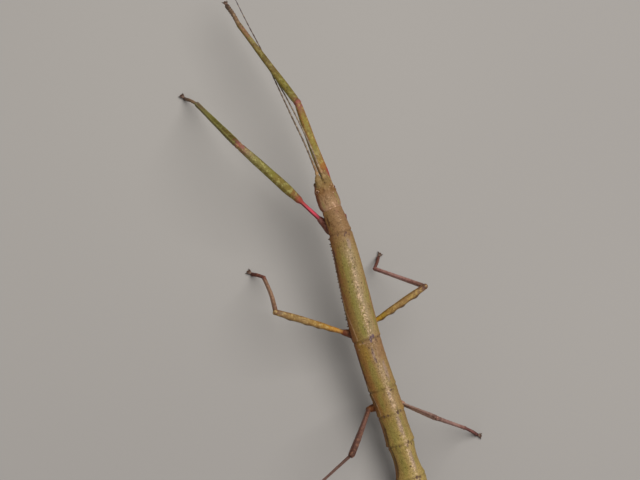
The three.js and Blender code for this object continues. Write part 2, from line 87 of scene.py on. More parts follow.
# Legs: the kind, where the coxa grows on the trunk, then hip, knee, ankle and toe, and the thigh's bow.
LEGS = {
    "fore_left": ("fore", 7.3, (0.3, -20.05, 8.7), (10.1, -33.8, 13.9), (10.0, -44.95, 2.3), (10.9, -46.9, 0.3),
                  (0, 0, 0.15)),
    "fore_right": ("fore", 7.3, (-3.7, -19.4, 8.5), (-3.0, -38.4, 10.1), (0.4, -54.0, 7.8), (0.8, -57.7, 7.1),
                   (0.35, 0, 0)),
    "mid_left": ("mid", 24.2, (2.7, -2.5, 6.2), (13.0, -8.6, 10.2), (10.2, -15.1, 2.4), (11.1, -16.4, 0.3),
                 (0, 0, 0.15)),
    "mid_right": ("mid", 24.2, (-2.2, -2.2, 6.0), (-10.4, -4.3, 12.1), (-8.0, -10.5, 2.0), (-10.1, -12.2, 0.3),
                  (0, 0, 0.15)),
    "hind_left": ("hind", 35.6, (2.9, 10.0, 4.6), (11.1, 14.9, 13.2), (16.9, 18.7, 1.8), (19.7, 21.1, 0.3),
                  (0, 0, 0.15)),
    "hind_right": ("hind", 35.6, (-2.95, 11.2, 4.0), (-2.6, 14.75, 15.3), (-12.0, 18.5, 2.5), (-14.45, 20.3, 0.3),
                   (0, 0, 0)),
}
# Share of the length, width and depth of each leg part.
THIGH = {
    "fore": [(0, 0.58, 0.56), (0.22, 0.5, 0.5), (0.28, 1.1, 0.85), (0.42, 1.45, 1.05), (0.75, 1.3, 1), (1, 1.05, 0.9)],
    "mid": [(0, 0.62, 0.62), (0.15, 0.72, 0.7), (0.4, 0.92, 0.88), (0.7, 1.0, 0.95), (1, 0.86, 0.84)],
    "hind": [(0, 0.6, 0.6), (0.2, 0.58, 0.6), (0.5, 0.68, 0.74), (0.8, 0.8, 0.88), (1, 0.84, 0.86)],
}
SHIN = {
    "fore": [(0, 0.98, 0.84), (0.2, 1.02, 0.8), (0.5, 0.86, 0.7), (0.85, 0.68, 0.62), (1, 0.64, 0.6)],
    "mid": [(0, 0.74, 0.72), (0.2, 0.68, 0.66), (0.7, 0.6, 0.58), (1, 0.58, 0.56)],
    "hind": [(0, 0.68, 0.68), (0.2, 0.58, 0.58), (0.7, 0.52, 0.52), (1, 0.54, 0.54)],
}
FOOT = {
    "fore": [(0, 0.62, 0.56), (0.35, 0.6, 0.54), (0.7, 0.6, 0.54), (1, 0.66, 0.58)],
    "mid": [(0, 0.54, 0.54), (0.35, 0.52, 0.5), (0.7, 0.54, 0.5), (1, 0.62, 0.56)],
    "hind": [(0, 0.52, 0.52), (0.35, 0.5, 0.5), (0.7, 0.52, 0.5), (1, 0.6, 0.56)],
}
# How much thicker or thinner the thigh, the shin and the foot of each leg are.
GIRTH = {"fore_left": (1.12, 1.2, 0.85), "fore_right": (1.15, 1.24, 1.2), "mid_left": (1.12, 1.0, 1.05),
         "mid_right": (1.13, 1.0, 0.95), "hind_left": (1.22, 0.78, 1.0), "hind_right": (0.86, 1.05, 1.0)}
SHIN_BOW = {"mid_left": (-0.2, 0.08, 0.06)}
COXA = {"inside": 0.9, "out": 1.0, "rows": [(0, 1.7, 1.7), (0.8, 1.15, 1.15), (1, 0.95, 0.95)]}
FOOT_ARCH = 0.25
LOBES = {"at": (0.2, 0.38, 0.56, 0.8), "length": 0.05, "turn": 82, "spread": 32,
         "height": {"mid_left": 0.11, "mid_right": 0.2}, "dark": {"mid_left": 1.0, "mid_right": 2.4}}
FOOT_JOINTS = (0.4, 0.56, 0.69, 0.79)

# Feelers: the stem's two ends, then the points of the thread.
ANTENNAE = {
    "left": (
        [(-0.75, -23.7, 11.15), (-0.85, -25.0, 11.2), (-1.1, -26.8, 11.25)],
        [(-1.1, -26.8, 11.25), (-1.15, -31.6, 11.0), (-1.2, -36.0, 10.2), (-1.4, -40.6, 9.1), (-1.6, -44.6, 8.1),
         (-1.8, -48.8, 7.3), (-1.6, -54.0, 6.5), (-1.3, -59.0, 6.2), (-1.1, -64.0, 6.2)],
    ),
    "right": (
        [(-2.25, -23.6, 11.0), (-2.15, -25.0, 11.05), (-1.9, -27.0, 11.0)],
        [(-1.9, -27.0, 11.0), (-2.0, -30.3, 10.8), (-1.9, -34.0, 10.6), (-1.95, -38.3, 9.6), (-2.05, -42.0, 8.3),
         (-2.15, -45.2, 7.1), (-2.0, -48.7, 6.2), (-1.45, -51.7, 5.6), (-0.85, -54.3, 5.2), (-0.2, -58.1, 4.8)],
    ),
}
STEM = [(0, 1.0, 0.8), (0.25, 1.25, 0.86), (0.52, 1.25, 0.74), (0.68, 1.0, 0.66), (0.82, 0.62, 0.52), (0.91, 0.6, 0.52),
        (1, 0.46, 0.42)]
THREAD = [(0, 0.4, 0.4), (0.1, 0.28, 0.28), (0.5, 0.21, 0.21), (1, 0.12, 0.12)]
THREAD_JOINTS = 34

# Mouth parts: points as back, out and up on the head, then share, width and depth.
LIP = ([(-0.3, 0, -0.35), (-0.42, 0, -0.9), (-0.25, 0, -1.35)], [(0, 0.9, 0.4), (0.5, 1.2, 0.42), (1, 0.95, 0.3)])
MOUTH_SIDES = {
    "jaw": ([(0.4, 0.75, -0.6), (-0.05, 0.65, -1.15), (-0.2, 0.25, -1.45)],
            [(0, 0.8, 0.7), (0.5, 0.7, 0.6), (1, 0.35, 0.3)]),
    "palp": ([(0.5, 0.5, -1.2), (0.3, 0.58, -1.7), (0.05, 0.52, -2.05)],
             [(0, 0.34, 0.34), (0.3, 0.26, 0.26), (0.36, 0.34, 0.34), (0.62, 0.26, 0.26), (0.68, 0.34, 0.34),
              (1, 0.24, 0.24)]),
    "small_palp": ([(0.7, 0.25, -1.15), (0.5, 0.3, -1.6), (0.2, 0.28, -1.8)],
                   [(0, 0.3, 0.3), (0.5, 0.22, 0.22), (0.6, 0.28, 0.28), (1, 0.2, 0.2)]),
}
CERCUS = {"length": 1.5, "inside": 0.4, "out": 0.62, "up": 0.2, "splay": 10,
          "rows": [(0, 0.6, 0.55), (0.5, 0.56, 0.5), (1, 0.3, 0.3)]}
PLATE = {"from": 70.2, "to": 79.2, "width": 2.4, "depth": (0.62, 1), "top": 0.2, "sink": 0.12}
PLATE_BELLY = {"from": 0.08, "to": 0.86, "fullness": 0.6}
# Claws: each point as onward, sideways and up from the middle of the claws' node.
CLAW_REACH = 0.3
CLAW = ([(-0.25, 0.08, 0), (0.05, 0.27, 0.05), (0.36, 0.47, -0.2)], [(0, 0.32, 0.34), (0.5, 0.22, 0.26), (1, 0.06, 0.06)])
PAD = ([(-0.25, 0, 0), (0.2, 0, -0.08)], [(0, 0.4, 0.4), (0.6, 0.5, 0.4), (1, 0.4, 0.3)])
GAP = 0.3

# How finely the skin is divided: the step along a limb, and the points round each section.
TRUNK_STEP, TRUNK_SIDES = 0.19, 96
LIMB_STEP, LIMB_SIDES = 0.16, 20
THREAD_STEP, THREAD_SIDES = 0.2, 10

ATLAS_SIDE = 60.0  # millimetres of skin across the bake's map
ATLAS_MARGIN = 0.45


# ---------------------------------------------------------------- lines and sections

def in_frame(points):
    return (np.asarray(points, float) - MIDDLE) * MM


def unit(vectors):
    return vectors / np.linalg.norm(vectors, axis=-1, keepdims=True)


def bell(x, width):
    return np.exp(-((x / width) ** 2))


class Line:
    """A smooth line through points, read by the distance along it and straight beyond its ends."""

    SPAN = 60

    def __init__(self, points):
        points = [np.asarray(p, float) for p in points]
        ends = [2 * points[0] - points[1], *points, 2 * points[-1] - points[-2]]
        spans = [self.span(*four) for four in zip(ends, ends[1:], ends[2:], ends[3:])]
        self.dense = np.concatenate([*spans, [points[-1]]])
        gaps = np.linalg.norm(np.diff(self.dense, axis=0), axis=1)
        self.reached = np.concatenate([[0], np.cumsum(gaps)])
        self.length = self.reached[-1]
        self.ways = unit(np.gradient(self.dense, self.reached, axis=0))

    def span(self, before, start, end, after):
        """A centripetal Catmull-Rom stretch from start to end."""
        a, b, c = (math.sqrt(np.linalg.norm(q - p)) for p, q in ((before, start), (start, end), (end, after)))
        leaving = ((start - before) / a - (end - before) / (a + b) + (end - start) / b) * b
        arriving = ((end - start) / b - (after - start) / (b + c) + (after - end) / c) * b
        t = np.arange(self.SPAN)[:, None] / self.SPAN
        bend = 3 * (end - start) - 2 * leaving - arriving
        twist = 2 * (start - end) + leaving + arriving
        return start + leaving * t + bend * t**2 + twist * t**3

    def way(self, distance):
        return unit(np.stack([np.interp(distance, self.reached, w) for w in self.ways.T], -1))

    def frames(self, distance, reference=UP):
        """Where the line is at each distance, and the directions along, across and up there."""
        distance = np.atleast_1d(np.asarray(distance, float))
        along = self.way(distance)
        at = np.stack([np.interp(distance, self.reached, p) for p in self.dense.T], -1)
        at = at + along * (distance - distance.clip(0, self.length))[:, None]
        across = unit(np.cross(along, reference))
        return SimpleNamespace(at=at, along=along, across=across, up=np.cross(across, along))


def spine_points():
    """The joints of the trunk, found by walking back along its segments."""
    points = [np.array(HEAD_FRONT)]
    walk = [(HEAD["length"], HEAD["heading"], HEAD["slope"])] + [segment[:3] for segment in TRUNK.values()]
    for length, heading, slope in walk:
        heading, slope = heading * DEGREE, slope * DEGREE
        level = length * math.cos(slope)
        step = (level * math.sin(heading), level * math.cos(heading), -length * math.sin(slope))
        points.append(points[-1] + np.array(step))
    return points


spine = Line(spine_points())
BORDERS = dict(zip([*TRUNK, "end"], HEAD["length"] + np.cumsum([0] + [segment[0] for segment in TRUNK.values()])))
TAIL_END = BORDERS["end"]


def turns_of(sides):
    return -math.pi + 2 * math.pi * (np.arange(sides) + 0.5) / sides


def section(frames, half_width, top, bottom, turns, relief=0.0):
    """Points round each frame. relief is added outwards, and top and bottom are heights above and below the line."""
    half_width, top, bottom = (np.broadcast_to(v, len(frames.at))[:, None] for v in (half_width, top, bottom))
    sine, cosine = np.sin(turns), np.cos(turns)
    height = np.where(cosine > 0, top, bottom)
    tilt = np.hypot(sine / half_width, cosine / height)
    x = half_width * sine + relief * sine / half_width / tilt
    y = height * cosine + relief * cosine / height / tilt
    return frames.at[:, None] + frames.across[:, None] * x[..., None] + frames.up[:, None] * y[..., None]


def eased(rows, share):
    """Width and depth at each share of the length, eased between the rows."""
    at, width, depth = np.array(rows, float).T
    after = np.searchsorted(at, share, side="left").clip(1, len(at) - 1)
    t = ((share - at[after - 1]) / (at[after] - at[after - 1])).clip(0, 1)
    t = t * t * (3 - 2 * t)
    return width[after - 1] * (1 - t) + width[after] * t, depth[after - 1] * (1 - t) + depth[after] * t


# ---------------------------------------------------------------- meshes and the bake's map

class Atlas:
    """Rows of strips on the bake's map, one for each tube of skin."""

    def __init__(self):
        self.x = self.y = self.row = ATLAS_MARGIN

    def place(self, length, girth):
        if self.x + length > ATLAS_SIDE - ATLAS_MARGIN:
            self.x, self.y = ATLAS_MARGIN, self.y + self.row + ATLAS_MARGIN
            self.row = 0
        corner = np.array([self.x, self.y])
        self.x += length + ATLAS_MARGIN
        self.row = max(self.row, girth)
        return corner


atlas = Atlas()


def mesh_object(name, vertices, faces, materials, smooth=True):
    mesh = bpy.data.meshes.new(name)
    mesh.from_pydata(vertices, [], faces)
    for material in materials:
        mesh.materials.append(material)
    mesh.polygons.foreach_set("use_smooth", [smooth] * len(mesh.polygons))
    made = bpy.data.objects.new(name, mesh)
    bpy.context.scene.collection.objects.link(made)
    return made


def tag(made, **values):
    """Writes a number to every point of a mesh, for its material to read."""
    for name, numbers in values.items():
        layer = made.data.attributes.new(name, "FLOAT", "POINT")
        layer.data.foreach_set("value", np.ascontiguousarray(numbers, np.float32).ravel())


def write_map(made, uv):
    layer = made.data.uv_layers.new(name="OFBake")
    layer.data.foreach_set("uv", np.ascontiguousarray(uv, np.float32).ravel())


def tube(name, points, material, breaks=(), **tags):
    """A closed mesh from rings of points, with a pole at each end and its strips laid on the map.

    breaks are the rings at which the strip is cut in two. tags are written on the mesh for its material to read.
    """
    rings, sides = points.shape[:2]
    corner = np.arange(rings * sides).reshape(rings, sides)
    after = np.roll(corner, -1, axis=1)
    quads = np.stack([corner[:-1], after[:-1], after[1:], corner[1:]], -1).reshape(-1, 4)
    front, rear = rings * sides, rings * sides + 1
    caps = [(front, b, a) for a, b in zip(corner[0], after[0])]
    caps += [(rear, a, b) for a, b in zip(corner[-1], after[-1])]
    poles = points[[0, -1]].mean(axis=1)
    made = mesh_object(name, in_frame(np.concatenate([points.reshape(-1, 3), poles])), [*quads.tolist(), *caps],
                       [material])

    def spread(values):
        grid = np.broadcast_to(values, (rings, sides))
        return np.concatenate([grid.ravel(), grid[[0, -1]].mean(axis=1)])

    tag(made, **{key: spread(value) for key, value in tags.items()})
    write_map(made, tube_map(points, breaks))
    return made


class Shell:
    """The skin of the trunk or the head, on a grid of stations and turns that can be read at any place."""

    def __init__(self, station, turns, points, tags):
        self.station, self.points = station, points
        self.tags = {"around": np.abs(turns) / math.pi, "turn": turns / (2 * math.pi) + 0.5, **tags}
        onward = np.gradient(points, axis=0)
        round_it = np.roll(points, -1, axis=1) - np.roll(points, 1, axis=1)
        self.normals = unit(np.cross(round_it, onward))

    def mesh(self, name, material, cut=None):
        """The skin as a tube, its strip cut at one station if asked."""
        breaks = [] if cut is None else [int(np.searchsorted(self.station, cut))]
        return tube(name, self.points, material, breaks, **self.tags)

    def read(self, values, station, turn):
        """Values of the grid at each station and turn."""
        rows, sides = self.points.shape[:2]
        row = np.interp(station, self.station, np.arange(rows))
        column = (turn + math.pi) / (2 * math.pi) * sides - 0.5
        i, j = np.floor(row).astype(int).clip(0, rows - 2), np.floor(column).astype(int)
        u, v = row - i, column - j
        if values.ndim == 3:
            u, v = u[:, None], v[:, None]
        j, k = j % sides, (j + 1) % sides
        return ((values[i, j] * (1 - v) + values[i, k] * v) * (1 - u)
                + (values[i + 1, j] * (1 - v) + values[i + 1, k] * v) * u)


def tube_map(points, breaks):
    """One strip of the map for each stretch between breaks, and a corner of it for each face of the tube."""
    rings, sides = points.shape[:2]
    middles = points.mean(axis=1)
    reach = np.linalg.norm(np.diff(points, axis=0), axis=2).max(axis=1)
    girth = np.linalg.norm(points - np.roll(points, 1, axis=1), axis=2).sum(axis=1).max()
    ends = [0, *breaks, rings - 1]
    low = np.empty((rings - 1, 2))
    for start, stop in zip(ends, ends[1:]):
        pole = np.linalg.norm(points[0, 0] - middles[0])
        length = reach[start:stop].sum() + 2 * pole
        x, y = atlas.place(length, girth)
        low[start:stop, 0] = x + pole + np.concatenate([[0], np.cumsum(reach[start:stop])[:-1]])
        low[start:stop, 1] = y
    v = np.arange(sides) * girth / sides
    width = girth / sides
    quads = np.empty((rings - 1, sides, 4, 2))
    quads[..., 0, 0] = quads[..., 1, 0] = low[:, :1]
    quads[..., 2, 0] = quads[..., 3, 0] = (low[:, 0] + reach)[:, None]
    quads[..., 0, 1] = quads[..., 3, 1] = low[:, 1:] + v
    quads[..., 1, 1] = quads[..., 2, 1] = low[:, 1:] + v + width
    tips = []
    for ring, sign in ((0, -1), (rings - 2, 1)):
        x = low[ring, 0] + (reach[ring] if sign > 0 else 0)
        for i in range(sides):
            a, b = low[ring, 1] + v[i], low[ring, 1] + v[i] + width
            ordered = (b, a) if sign < 0 else (a, b)
            tips += [(x + sign * pole, (a + b) / 2), (x, ordered[0]), (x, ordered[1])]
    return np.concatenate([quads.reshape(-1, 2), np.array(tips)]) / ATLAS_SIDE


def joined(name, pieces):
    """Several meshes as one object, with what is written on them."""
    with bpy.context.temp_override(active_object=pieces[0], object=pieces[0], selected_objects=pieces,
                                   selected_editable_objects=pieces):
        bpy.ops.object.join()
    pieces[0].name = name
    return pieces[0]


def merged(base, extra):
    """The union of two closed meshes, with what is written on each."""
    union = base.modifiers.new("union", "BOOLEAN")
    union.operation = "UNION"
    union.solver = "MANIFOLD"
    union.material_mode = "TRANSFER"
    union.object = extra
    with bpy.context.temp_override(object=base, active_object=base):
        bpy.ops.object.modifier_apply(modifier=union.name)
    bpy.data.objects.remove(extra)
    return base


# ---------------------------------------------------------------- materials

def shade(code):
    """A colour given as on screen, in the linear numbers that the shader wants."""
    channels = [int(code[i:i + 2], 16) / 255 for i in (0, 2, 4)]
    return [c / 12.92 if c <= 0.04045 else ((c + 0.055) / 1.055) ** 2.4 for c in channels] + [1.0]


GLOSS_TINT = (1.0, 0.86, 0.62, 1.0)


class Paint:
    """A node material, with a short call for each kind of node that it is made of."""

    def __init__(self, name, **settings):
        self.material = bpy.data.materials.new(name)
        self.material.use_nodes = True
        self.tree = self.material.node_tree
        self.shader = self.tree.nodes["Principled BSDF"]
        self.shader.inputs["Specular Tint"].default_value = GLOSS_TINT
        for socket, value in settings.items():
            self.shader.inputs[socket.replace("_", " ")].default_value = value

    def node(self, kind, inputs=(), **settings):
        made = self.tree.nodes.new("ShaderNode" + kind)
        for key, value in settings.items():
            setattr(made, key, value)
        for key, value in dict(inputs).items():
            self.feed(made.inputs[key], value)
        return made

    def feed(self, socket, value):
        if isinstance(value, bpy.types.NodeSocket):
            self.tree.links.new(value, socket)
        else:
            socket.default_value = value

    def place(self, stretch=(1, 1, 1)):
        """The point's place in the frame, in millimetres, stretched along the axes."""
        where = self.node("TexCoord").outputs["Object"]
        return self.node("Mapping", {"Vector": where, "Scale": [s / MM for s in stretch]}).outputs["Vector"]

    def written(self, name):
        return self.node("Attribute", attribute_name=name).outputs["Fac"]

    def noise(self, scale, where, detail=4.0, rough=0.55):
        inputs = {"Vector": where, "Scale": scale, "Detail": detail, "Roughness": rough}
        return self.node("TexNoise", inputs).outputs["Fac"]

    def cells(self, scale, where):
        return self.node("TexVoronoi", {"Vector": where, "Scale": scale}).outputs["Distance"]

    def sum(self, a, b):
        return self.maths("ADD", a, b)

    def scaled(self, value, factor):
        return self.maths("MULTIPLY", value, factor)

    def maths(self, operation, *values):
        return self.node("Math", dict(enumerate(values)), operation=operation).outputs[0]

    def between(self, value, low, high):
        """0 below low and 1 above high, or the other way round where low is the larger."""
        inputs = {"Value": value, "From Min": low, "From Max": high}
        return self.node("MapRange", inputs, interpolation_type="SMOOTHSTEP").outputs[0]

    def ramp(self, value, stops):
        made = self.node("ValToRGB", {"Fac": value})
        elements = made.color_ramp.elements
        while len(elements) < len(stops):
            elements.new(0.5)
        for element, (position, code) in zip(elements, stops):
            element.position = position
            element.color = shade(code)
        return made.outputs["Color"]

    def mix(self, share, under, over, blend="MIX"):
        made = self.node("Mix", data_type="RGBA", blend_type=blend)
        for socket, value in ((made.inputs[0], share), (made.inputs[6], under), (made.inputs[7], over)):
            self.feed(socket, shade(value) if isinstance(value, str) else value)
        return made.outputs[2]

    def veil(self, under, over, share):
        """The colour over, laid on the colour under as thickly as share says."""
        return self.mix(share, under, over)

    def finish(self, colour, roughness, height, depth, strength=0.6):
        """Connects the colour and the roughness, and a bump whose full height is depth millimetres."""
        self.feed(self.shader.inputs["Base Color"], colour)
        self.feed(self.shader.inputs["Roughness"], roughness)
        bump = self.node("Bump", {"Height": height, "Distance": depth * MM, "Strength": strength})
        self.feed(self.shader.inputs["Normal"], bump.outputs["Normal"])
        return self.material


def shell_bump(paint, where):
    """Fine grain over small, uneven knobs."""
    knobs = paint.between(paint.cells(3.4, where), 0.45, 0.05)
    grain = paint.noise(14.0, where, 5.0, 0.65)
    return paint.sum(paint.maths("MULTIPLY", knobs, 0.6), paint.maths("MULTIPLY", grain, 0.5))


def trunk_paint():
    """Olive-brown back with a line of pink-cream flecks down the middle, partly its own pale line and partly a painted
    highlight, lilac patches there that are partly painted highlight too, and red-brown flanks.
    """
    paint = Paint("trunk_shell", Specular_IOR_Level=0.24)
    where = paint.place()
    turn, around, along = (paint.written(name) for name in ("turn", "around", "along"))
    wave = paint.noise(0.6, paint.place((1.6, 0.5, 1.6)), 5.0)
    streak = paint.noise(2.2, paint.place((1.7, 0.5, 1.7)), 5.0, 0.7)
    shift = paint.maths("MULTIPLY_ADD", paint.sum(wave, paint.scaled(streak, 0.8)), 0.08, -0.072)
    colour = paint.ramp(paint.sum(turn, shift), [(percent / 100, code) for percent, code in TRUNK_COLOURS])
    onward = paint.sum(along, paint.scaled(wave, 3.0))
    front = paint.maths("MULTIPLY", paint.between(onward, 13.5, 9.5), paint.between(around, 0.5, 0.2))
    leftwards = paint.maths("MULTIPLY_ADD", paint.between(turn, 0.5, 0.6), 0.2, 0.2)
    rear = paint.maths("MULTIPLY", paint.between(onward, 24.0, 31.0), paint.between(around, 0.6, 0.5))
    colour = paint.veil(colour, "90632e", paint.maths("MULTIPLY", rear, leftwards))
    pale = paint.maths("MULTIPLY", paint.between(onward, 36.0, 43.0), paint.between(around, 0.55, 0.4))
    colour = paint.veil(colour, "aa9857", paint.scaled(pale, 0.48))
    colour = paint.veil(colour, "7c7430", paint.scaled(paint.between(wave, 0.5, 0.64), 0.45))
    colour = paint.veil(colour, "856346", paint.scaled(front, 0.8))
    brown = paint.noise(0.9, paint.place((1.0, 0.5, 1.0)), 5.0, 0.65)
    colour = paint.veil(colour, "634426", paint.scaled(paint.between(brown, 0.55, 0.72), 0.5))
    broken = paint.noise(2.6, paint.place((1.4, 0.8, 1.4)), 4.0, 0.7)
    for name, code, low, high, strength in SOFT_MARKS:
        shown = paint.between(paint.sum(paint.written(name), broken), low, high)
        colour = paint.veil(colour, code, paint.scaled(shown, strength))
    # Pink-cream flecks down the middle of the back: partly the shell's own pale line, partly a painted highlight.
    speck = paint.noise(2.8, where, 5.0, 0.85)
    cream = paint.between(paint.sum(speck, paint.scaled(paint.written("cream"), 0.08)), 0.54, 0.64)
    colour = paint.veil(colour, "cfb296", paint.maths("MULTIPLY", cream, paint.written("cream")))
    net = paint.noise(3.4, paint.place((1.2, 0.8, 1.2)), 5.0, 0.8)
    colour = paint.veil(colour, "3c2813", paint.scaled(paint.between(net, 0.47, 0.37), 0.55))
    colour = paint.veil(colour, "bda474", paint.scaled(paint.between(net, 0.58, 0.7), 0.4))
    for name, code in (("dark", "4a3236"), ("dots", "3c281c")):
        shown = paint.between(paint.sum(paint.written(name), broken), 0.9, 1.35)
        colour = paint.veil(colour, code, paint.scaled(shown, 0.8))
    fine = paint.noise(9.0, where, 4.0, 0.7)
    colour = paint.mix(paint.scaled(paint.between(fine, 0.62, 0.4), 0.4), colour, "8a7450", "MULTIPLY")
    colour = paint.veil(colour, "3a2618", paint.scaled(paint.written("groove"), 0.35))
    colour = paint.veil(colour, "d0bb98", paint.written("light"))
    colour = paint.veil(colour, "2c1c17", paint.written("dot"))
    rough = paint.maths("MULTIPLY_ADD", paint.noise(5.0, where), 0.35, 0.4)
    return paint.finish(colour, rough, shell_bump(paint, where), 0.05)


def head_paint():
    """Tan, with an ochre forehead, dark cheeks, small pink-white marks and painted shade in the small dent between the
    feeler stems.
    """
    paint = Paint("head_shell", Specular_IOR_Level=0.28)
    where = paint.place()
    around, along = paint.written("around"), paint.written("along")
    wave = paint.noise(1.1, paint.place((1.2, 0.7, 1.2)), 5.0)
    shift = paint.maths("MULTIPLY_ADD", wave, 0.14, -0.07)
    colour = paint.ramp(paint.sum(along, shift), [(percent / 100, code) for percent, code in HEAD_COLOURS])
    round_it = paint.sum(around, shift)
    ochre = paint.maths("MULTIPLY", paint.between(along, 0.42, 0.3), paint.between(along, 0.1, 0.2))
    ochre = paint.maths("MULTIPLY", ochre, paint.between(round_it, 0.06, 0.18))
    colour = paint.veil(colour, "674418", paint.scaled(ochre, 0.6))
    cheek = paint.maths("MULTIPLY", paint.between(round_it, 0.32, 0.42), paint.between(round_it, 0.62, 0.54))
    colour = paint.veil(colour, "682f20", paint.scaled(cheek, 0.8))
    stripe = paint.noise(2.4, paint.place((1.9, 0.5, 1.9)), 4.0, 0.6)
    colour = paint.veil(colour, "664a2a", paint.scaled(paint.between(stripe, 0.5, 0.62), 0.4))
    colour = paint.veil(colour, "9a7c5a", paint.scaled(paint.between(stripe, 0.46, 0.38), 0.35))
    broken = paint.noise(4.0, where, 4.0, 0.7)
    # The colour 2a1c10 is painted shade in the small dent between the feeler stems.
    for name, code, strength in (("pale", "c6a288", 0.7), ("green", "7c7842", 0.5), ("smudge", "54351c", 0.65),
                                 ("notch_shade", "2a1c10", 1.0)):
        shown = paint.between(paint.sum(paint.written(name), broken), 0.85, 1.45)
        colour = paint.veil(colour, code, paint.scaled(shown, strength))
    fine = paint.noise(8.0, where, 4.0, 0.7)
    colour = paint.mix(paint.scaled(paint.between(fine, 0.62, 0.4), 0.35), colour, "8a7450", "MULTIPLY")
    colour = paint.veil(colour, "c9a68a", paint.written("light"))
    colour = paint.veil(colour, "2a1a17", paint.written("dot"))
    rough = paint.maths("MULTIPLY_ADD", paint.noise(5.0, where), 0.3, 0.38)
    return paint.finish(colour, rough, shell_bump(paint, where), 0.045)


def limb_paint(name, stops, blotches, ridge, front=None, rear=None, blush=None, edges=None, plain=0.0,
               gloss=0.4):
    """Colours that follow a limb's length, with blotches, lines along its ridges and a tint on each side.

    stops are percents of the length and colours; blotches are a pale and a dark colour; ridge, front and rear
    are each a colour and how strongly it shows, in percents. blush is a colour on the outer side and where it
    starts and ends, in percents. edges is a colour on both sides and how far along it reaches, in percents. Up
    to the share plain there are only the lines.
    """
    paint = Paint(name, Specular_IOR_Level=0.2)
    where = paint.place()
    along, side, ridges = (paint.written(tag) for tag in ("along", "side", "ridge"))
    wave = paint.noise(1.3, where, 4.0)
    stops = [(int(at) / 100, code) for at, code in (stop.split(":") for stop in stops.split())]
    colour = paint.ramp(paint.sum(along, paint.maths("MULTIPLY_ADD", wave, 0.06, -0.03)), stops)
    broken = paint.noise(1.7, where, 5.0, 0.65)
    spot = paint.noise(3.0, where, 3.0, 0.65)
    uneven = paint.between(along, plain - 0.02, plain + 0.03)
    pale, dark = blotches.split()
    layers = [(dark, 70, paint.maths("MULTIPLY", uneven, paint.between(spot, 0.53, 0.62))),
              (pale, 70, paint.maths("MULTIPLY", uneven, paint.between(broken, 0.52, 0.6))),
              ("35202a", 85, paint.written("tooth")),
              (*ridge.split(), paint.maths("MULTIPLY", ridges, paint.between(spot, 0.3, 0.5)))]
    for tint, low, high in ((front, 0.3, 0.95), (rear, -0.3, -0.95)):
        if tint:
            shown = paint.maths("MULTIPLY", paint.between(side, low, high), paint.between(broken, 0.36, 0.54))
            layers.insert(0, (*tint.split(), paint.maths("MULTIPLY", uneven, shown)))
    if blush:
        code, start, end = blush.split()
        start, end = int(start) / 100, int(end) / 100
        ahead = paint.maths("MULTIPLY", paint.between(along, start, start + 0.03), paint.between(along, end, end - 0.03))
        layers.append((code, 85, paint.maths("MULTIPLY", ahead, paint.between(side, -0.2, -0.7))))
    if edges:
        code, reach = edges.split()
        ahead = paint.between(along, int(reach) / 100 + 0.04, int(reach) / 100)
        outer = paint.between(paint.maths("ABSOLUTE", side), 0.5, 0.9)
        layers.append((code, 75, paint.maths("MULTIPLY", ahead, outer)))
    for code, strength, shown in layers:
        colour = paint.veil(colour, code, paint.scaled(shown, int(strength) / 100))
    fine = paint.noise(11.0, where, 4.0, 0.7)
    colour = paint.mix(paint.scaled(paint.between(fine, 0.62, 0.4), 0.35), colour, "94835c", "MULTIPLY")
    rough = paint.maths("MULTIPLY_ADD", paint.noise(6.0, where), 0.25, gloss)
    return paint.finish(colour, rough, paint.noise(18.0, where, 4.0, 0.6), 0.035)


def eye_paint():
    """A narrow pale ring round a dark middle, under fine facets."""
    paint = Paint("eye_facets", Specular_IOR_Level=0.3, Coat_Weight=0.2, Coat_Roughness=0.15)
    where = paint.place()
    uneven = paint.maths("MULTIPLY_ADD", paint.noise(5.0, where), 0.08, -0.04)
    colour = paint.ramp(paint.sum(paint.written("along"), uneven), [
        (0.0, "4c2a1c"), (0.16, "5c3422"), (0.21, "ac8a6a"), (0.29, "b08c6a"), (0.34, "6c4a32"), (1.0, "5a3c28")])
    facets = paint.cells(16.0, where)
    colour = paint.veil(colour, "3a2418", paint.scaled(paint.between(facets, 0.2, 0.6), 0.3))
    return paint.finish(colour, 0.25, paint.between(facets, 0.7, 0.1), 0.02)


def claw_paint():
    """Dark horn that turns amber towards the tips, beside a soft grey-brown pad."""
    paint = Paint("claw_horn", Specular_IOR_Level=0.35)
    where = paint.place()
    colour = paint.ramp(paint.written("along"), [(0.0, "5c483f"), (0.4, "4a3630"), (0.8, "332320"), (1.0, "4c3020")])
    pale = paint.between(paint.noise(5.0, where, 4.0), 0.5, 0.7)
    colour = paint.veil(colour, "5c4a42", paint.scaled(pale, 0.4))
    return paint.finish(colour, paint.maths("MULTIPLY_ADD", pale, 0.2, 0.45), paint.noise(16.0, where), 0.02)


def floor_paint():
    """Pale matt paper."""
    paint = Paint("floor_paper", Specular_IOR_Level=0.25)
    where = paint.place()
    colour = paint.ramp(paint.noise(0.006, where, 2.0), [(0.3, "898786"), (0.7, "908e8c")])
    return paint.finish(colour, 0.75, paint.noise(2.0, where, 6.0), 0.02, 0.15)


# Colours round the trunk, from the middle of the belly over the right side, the back and the left side: percents.
TRUNK_COLOURS = [
    (0, "6e5c38"), (22, "6c4c30"), (27, "7e5836"), (33, "8c6a42"), (38, "927950"), (43, "948058"), (49, "908064"),
    (54, "8a7950"), (59, "827240"), (63, "7e6536"), (69, "825a34"), (73, "7c4e2e"), (77, "6c3e2a"), (82, "60382a"), (88, "6a5636"),
    (100, "6e5c38")]
HEAD_COLOURS = [(0, "7a633c"), (14, "7a6039"), (24, "765a36"), (34, "735231"), (45, "7e5f40"), (62, "86694b"),
                (80, "96785a"), (100, "94745a")]
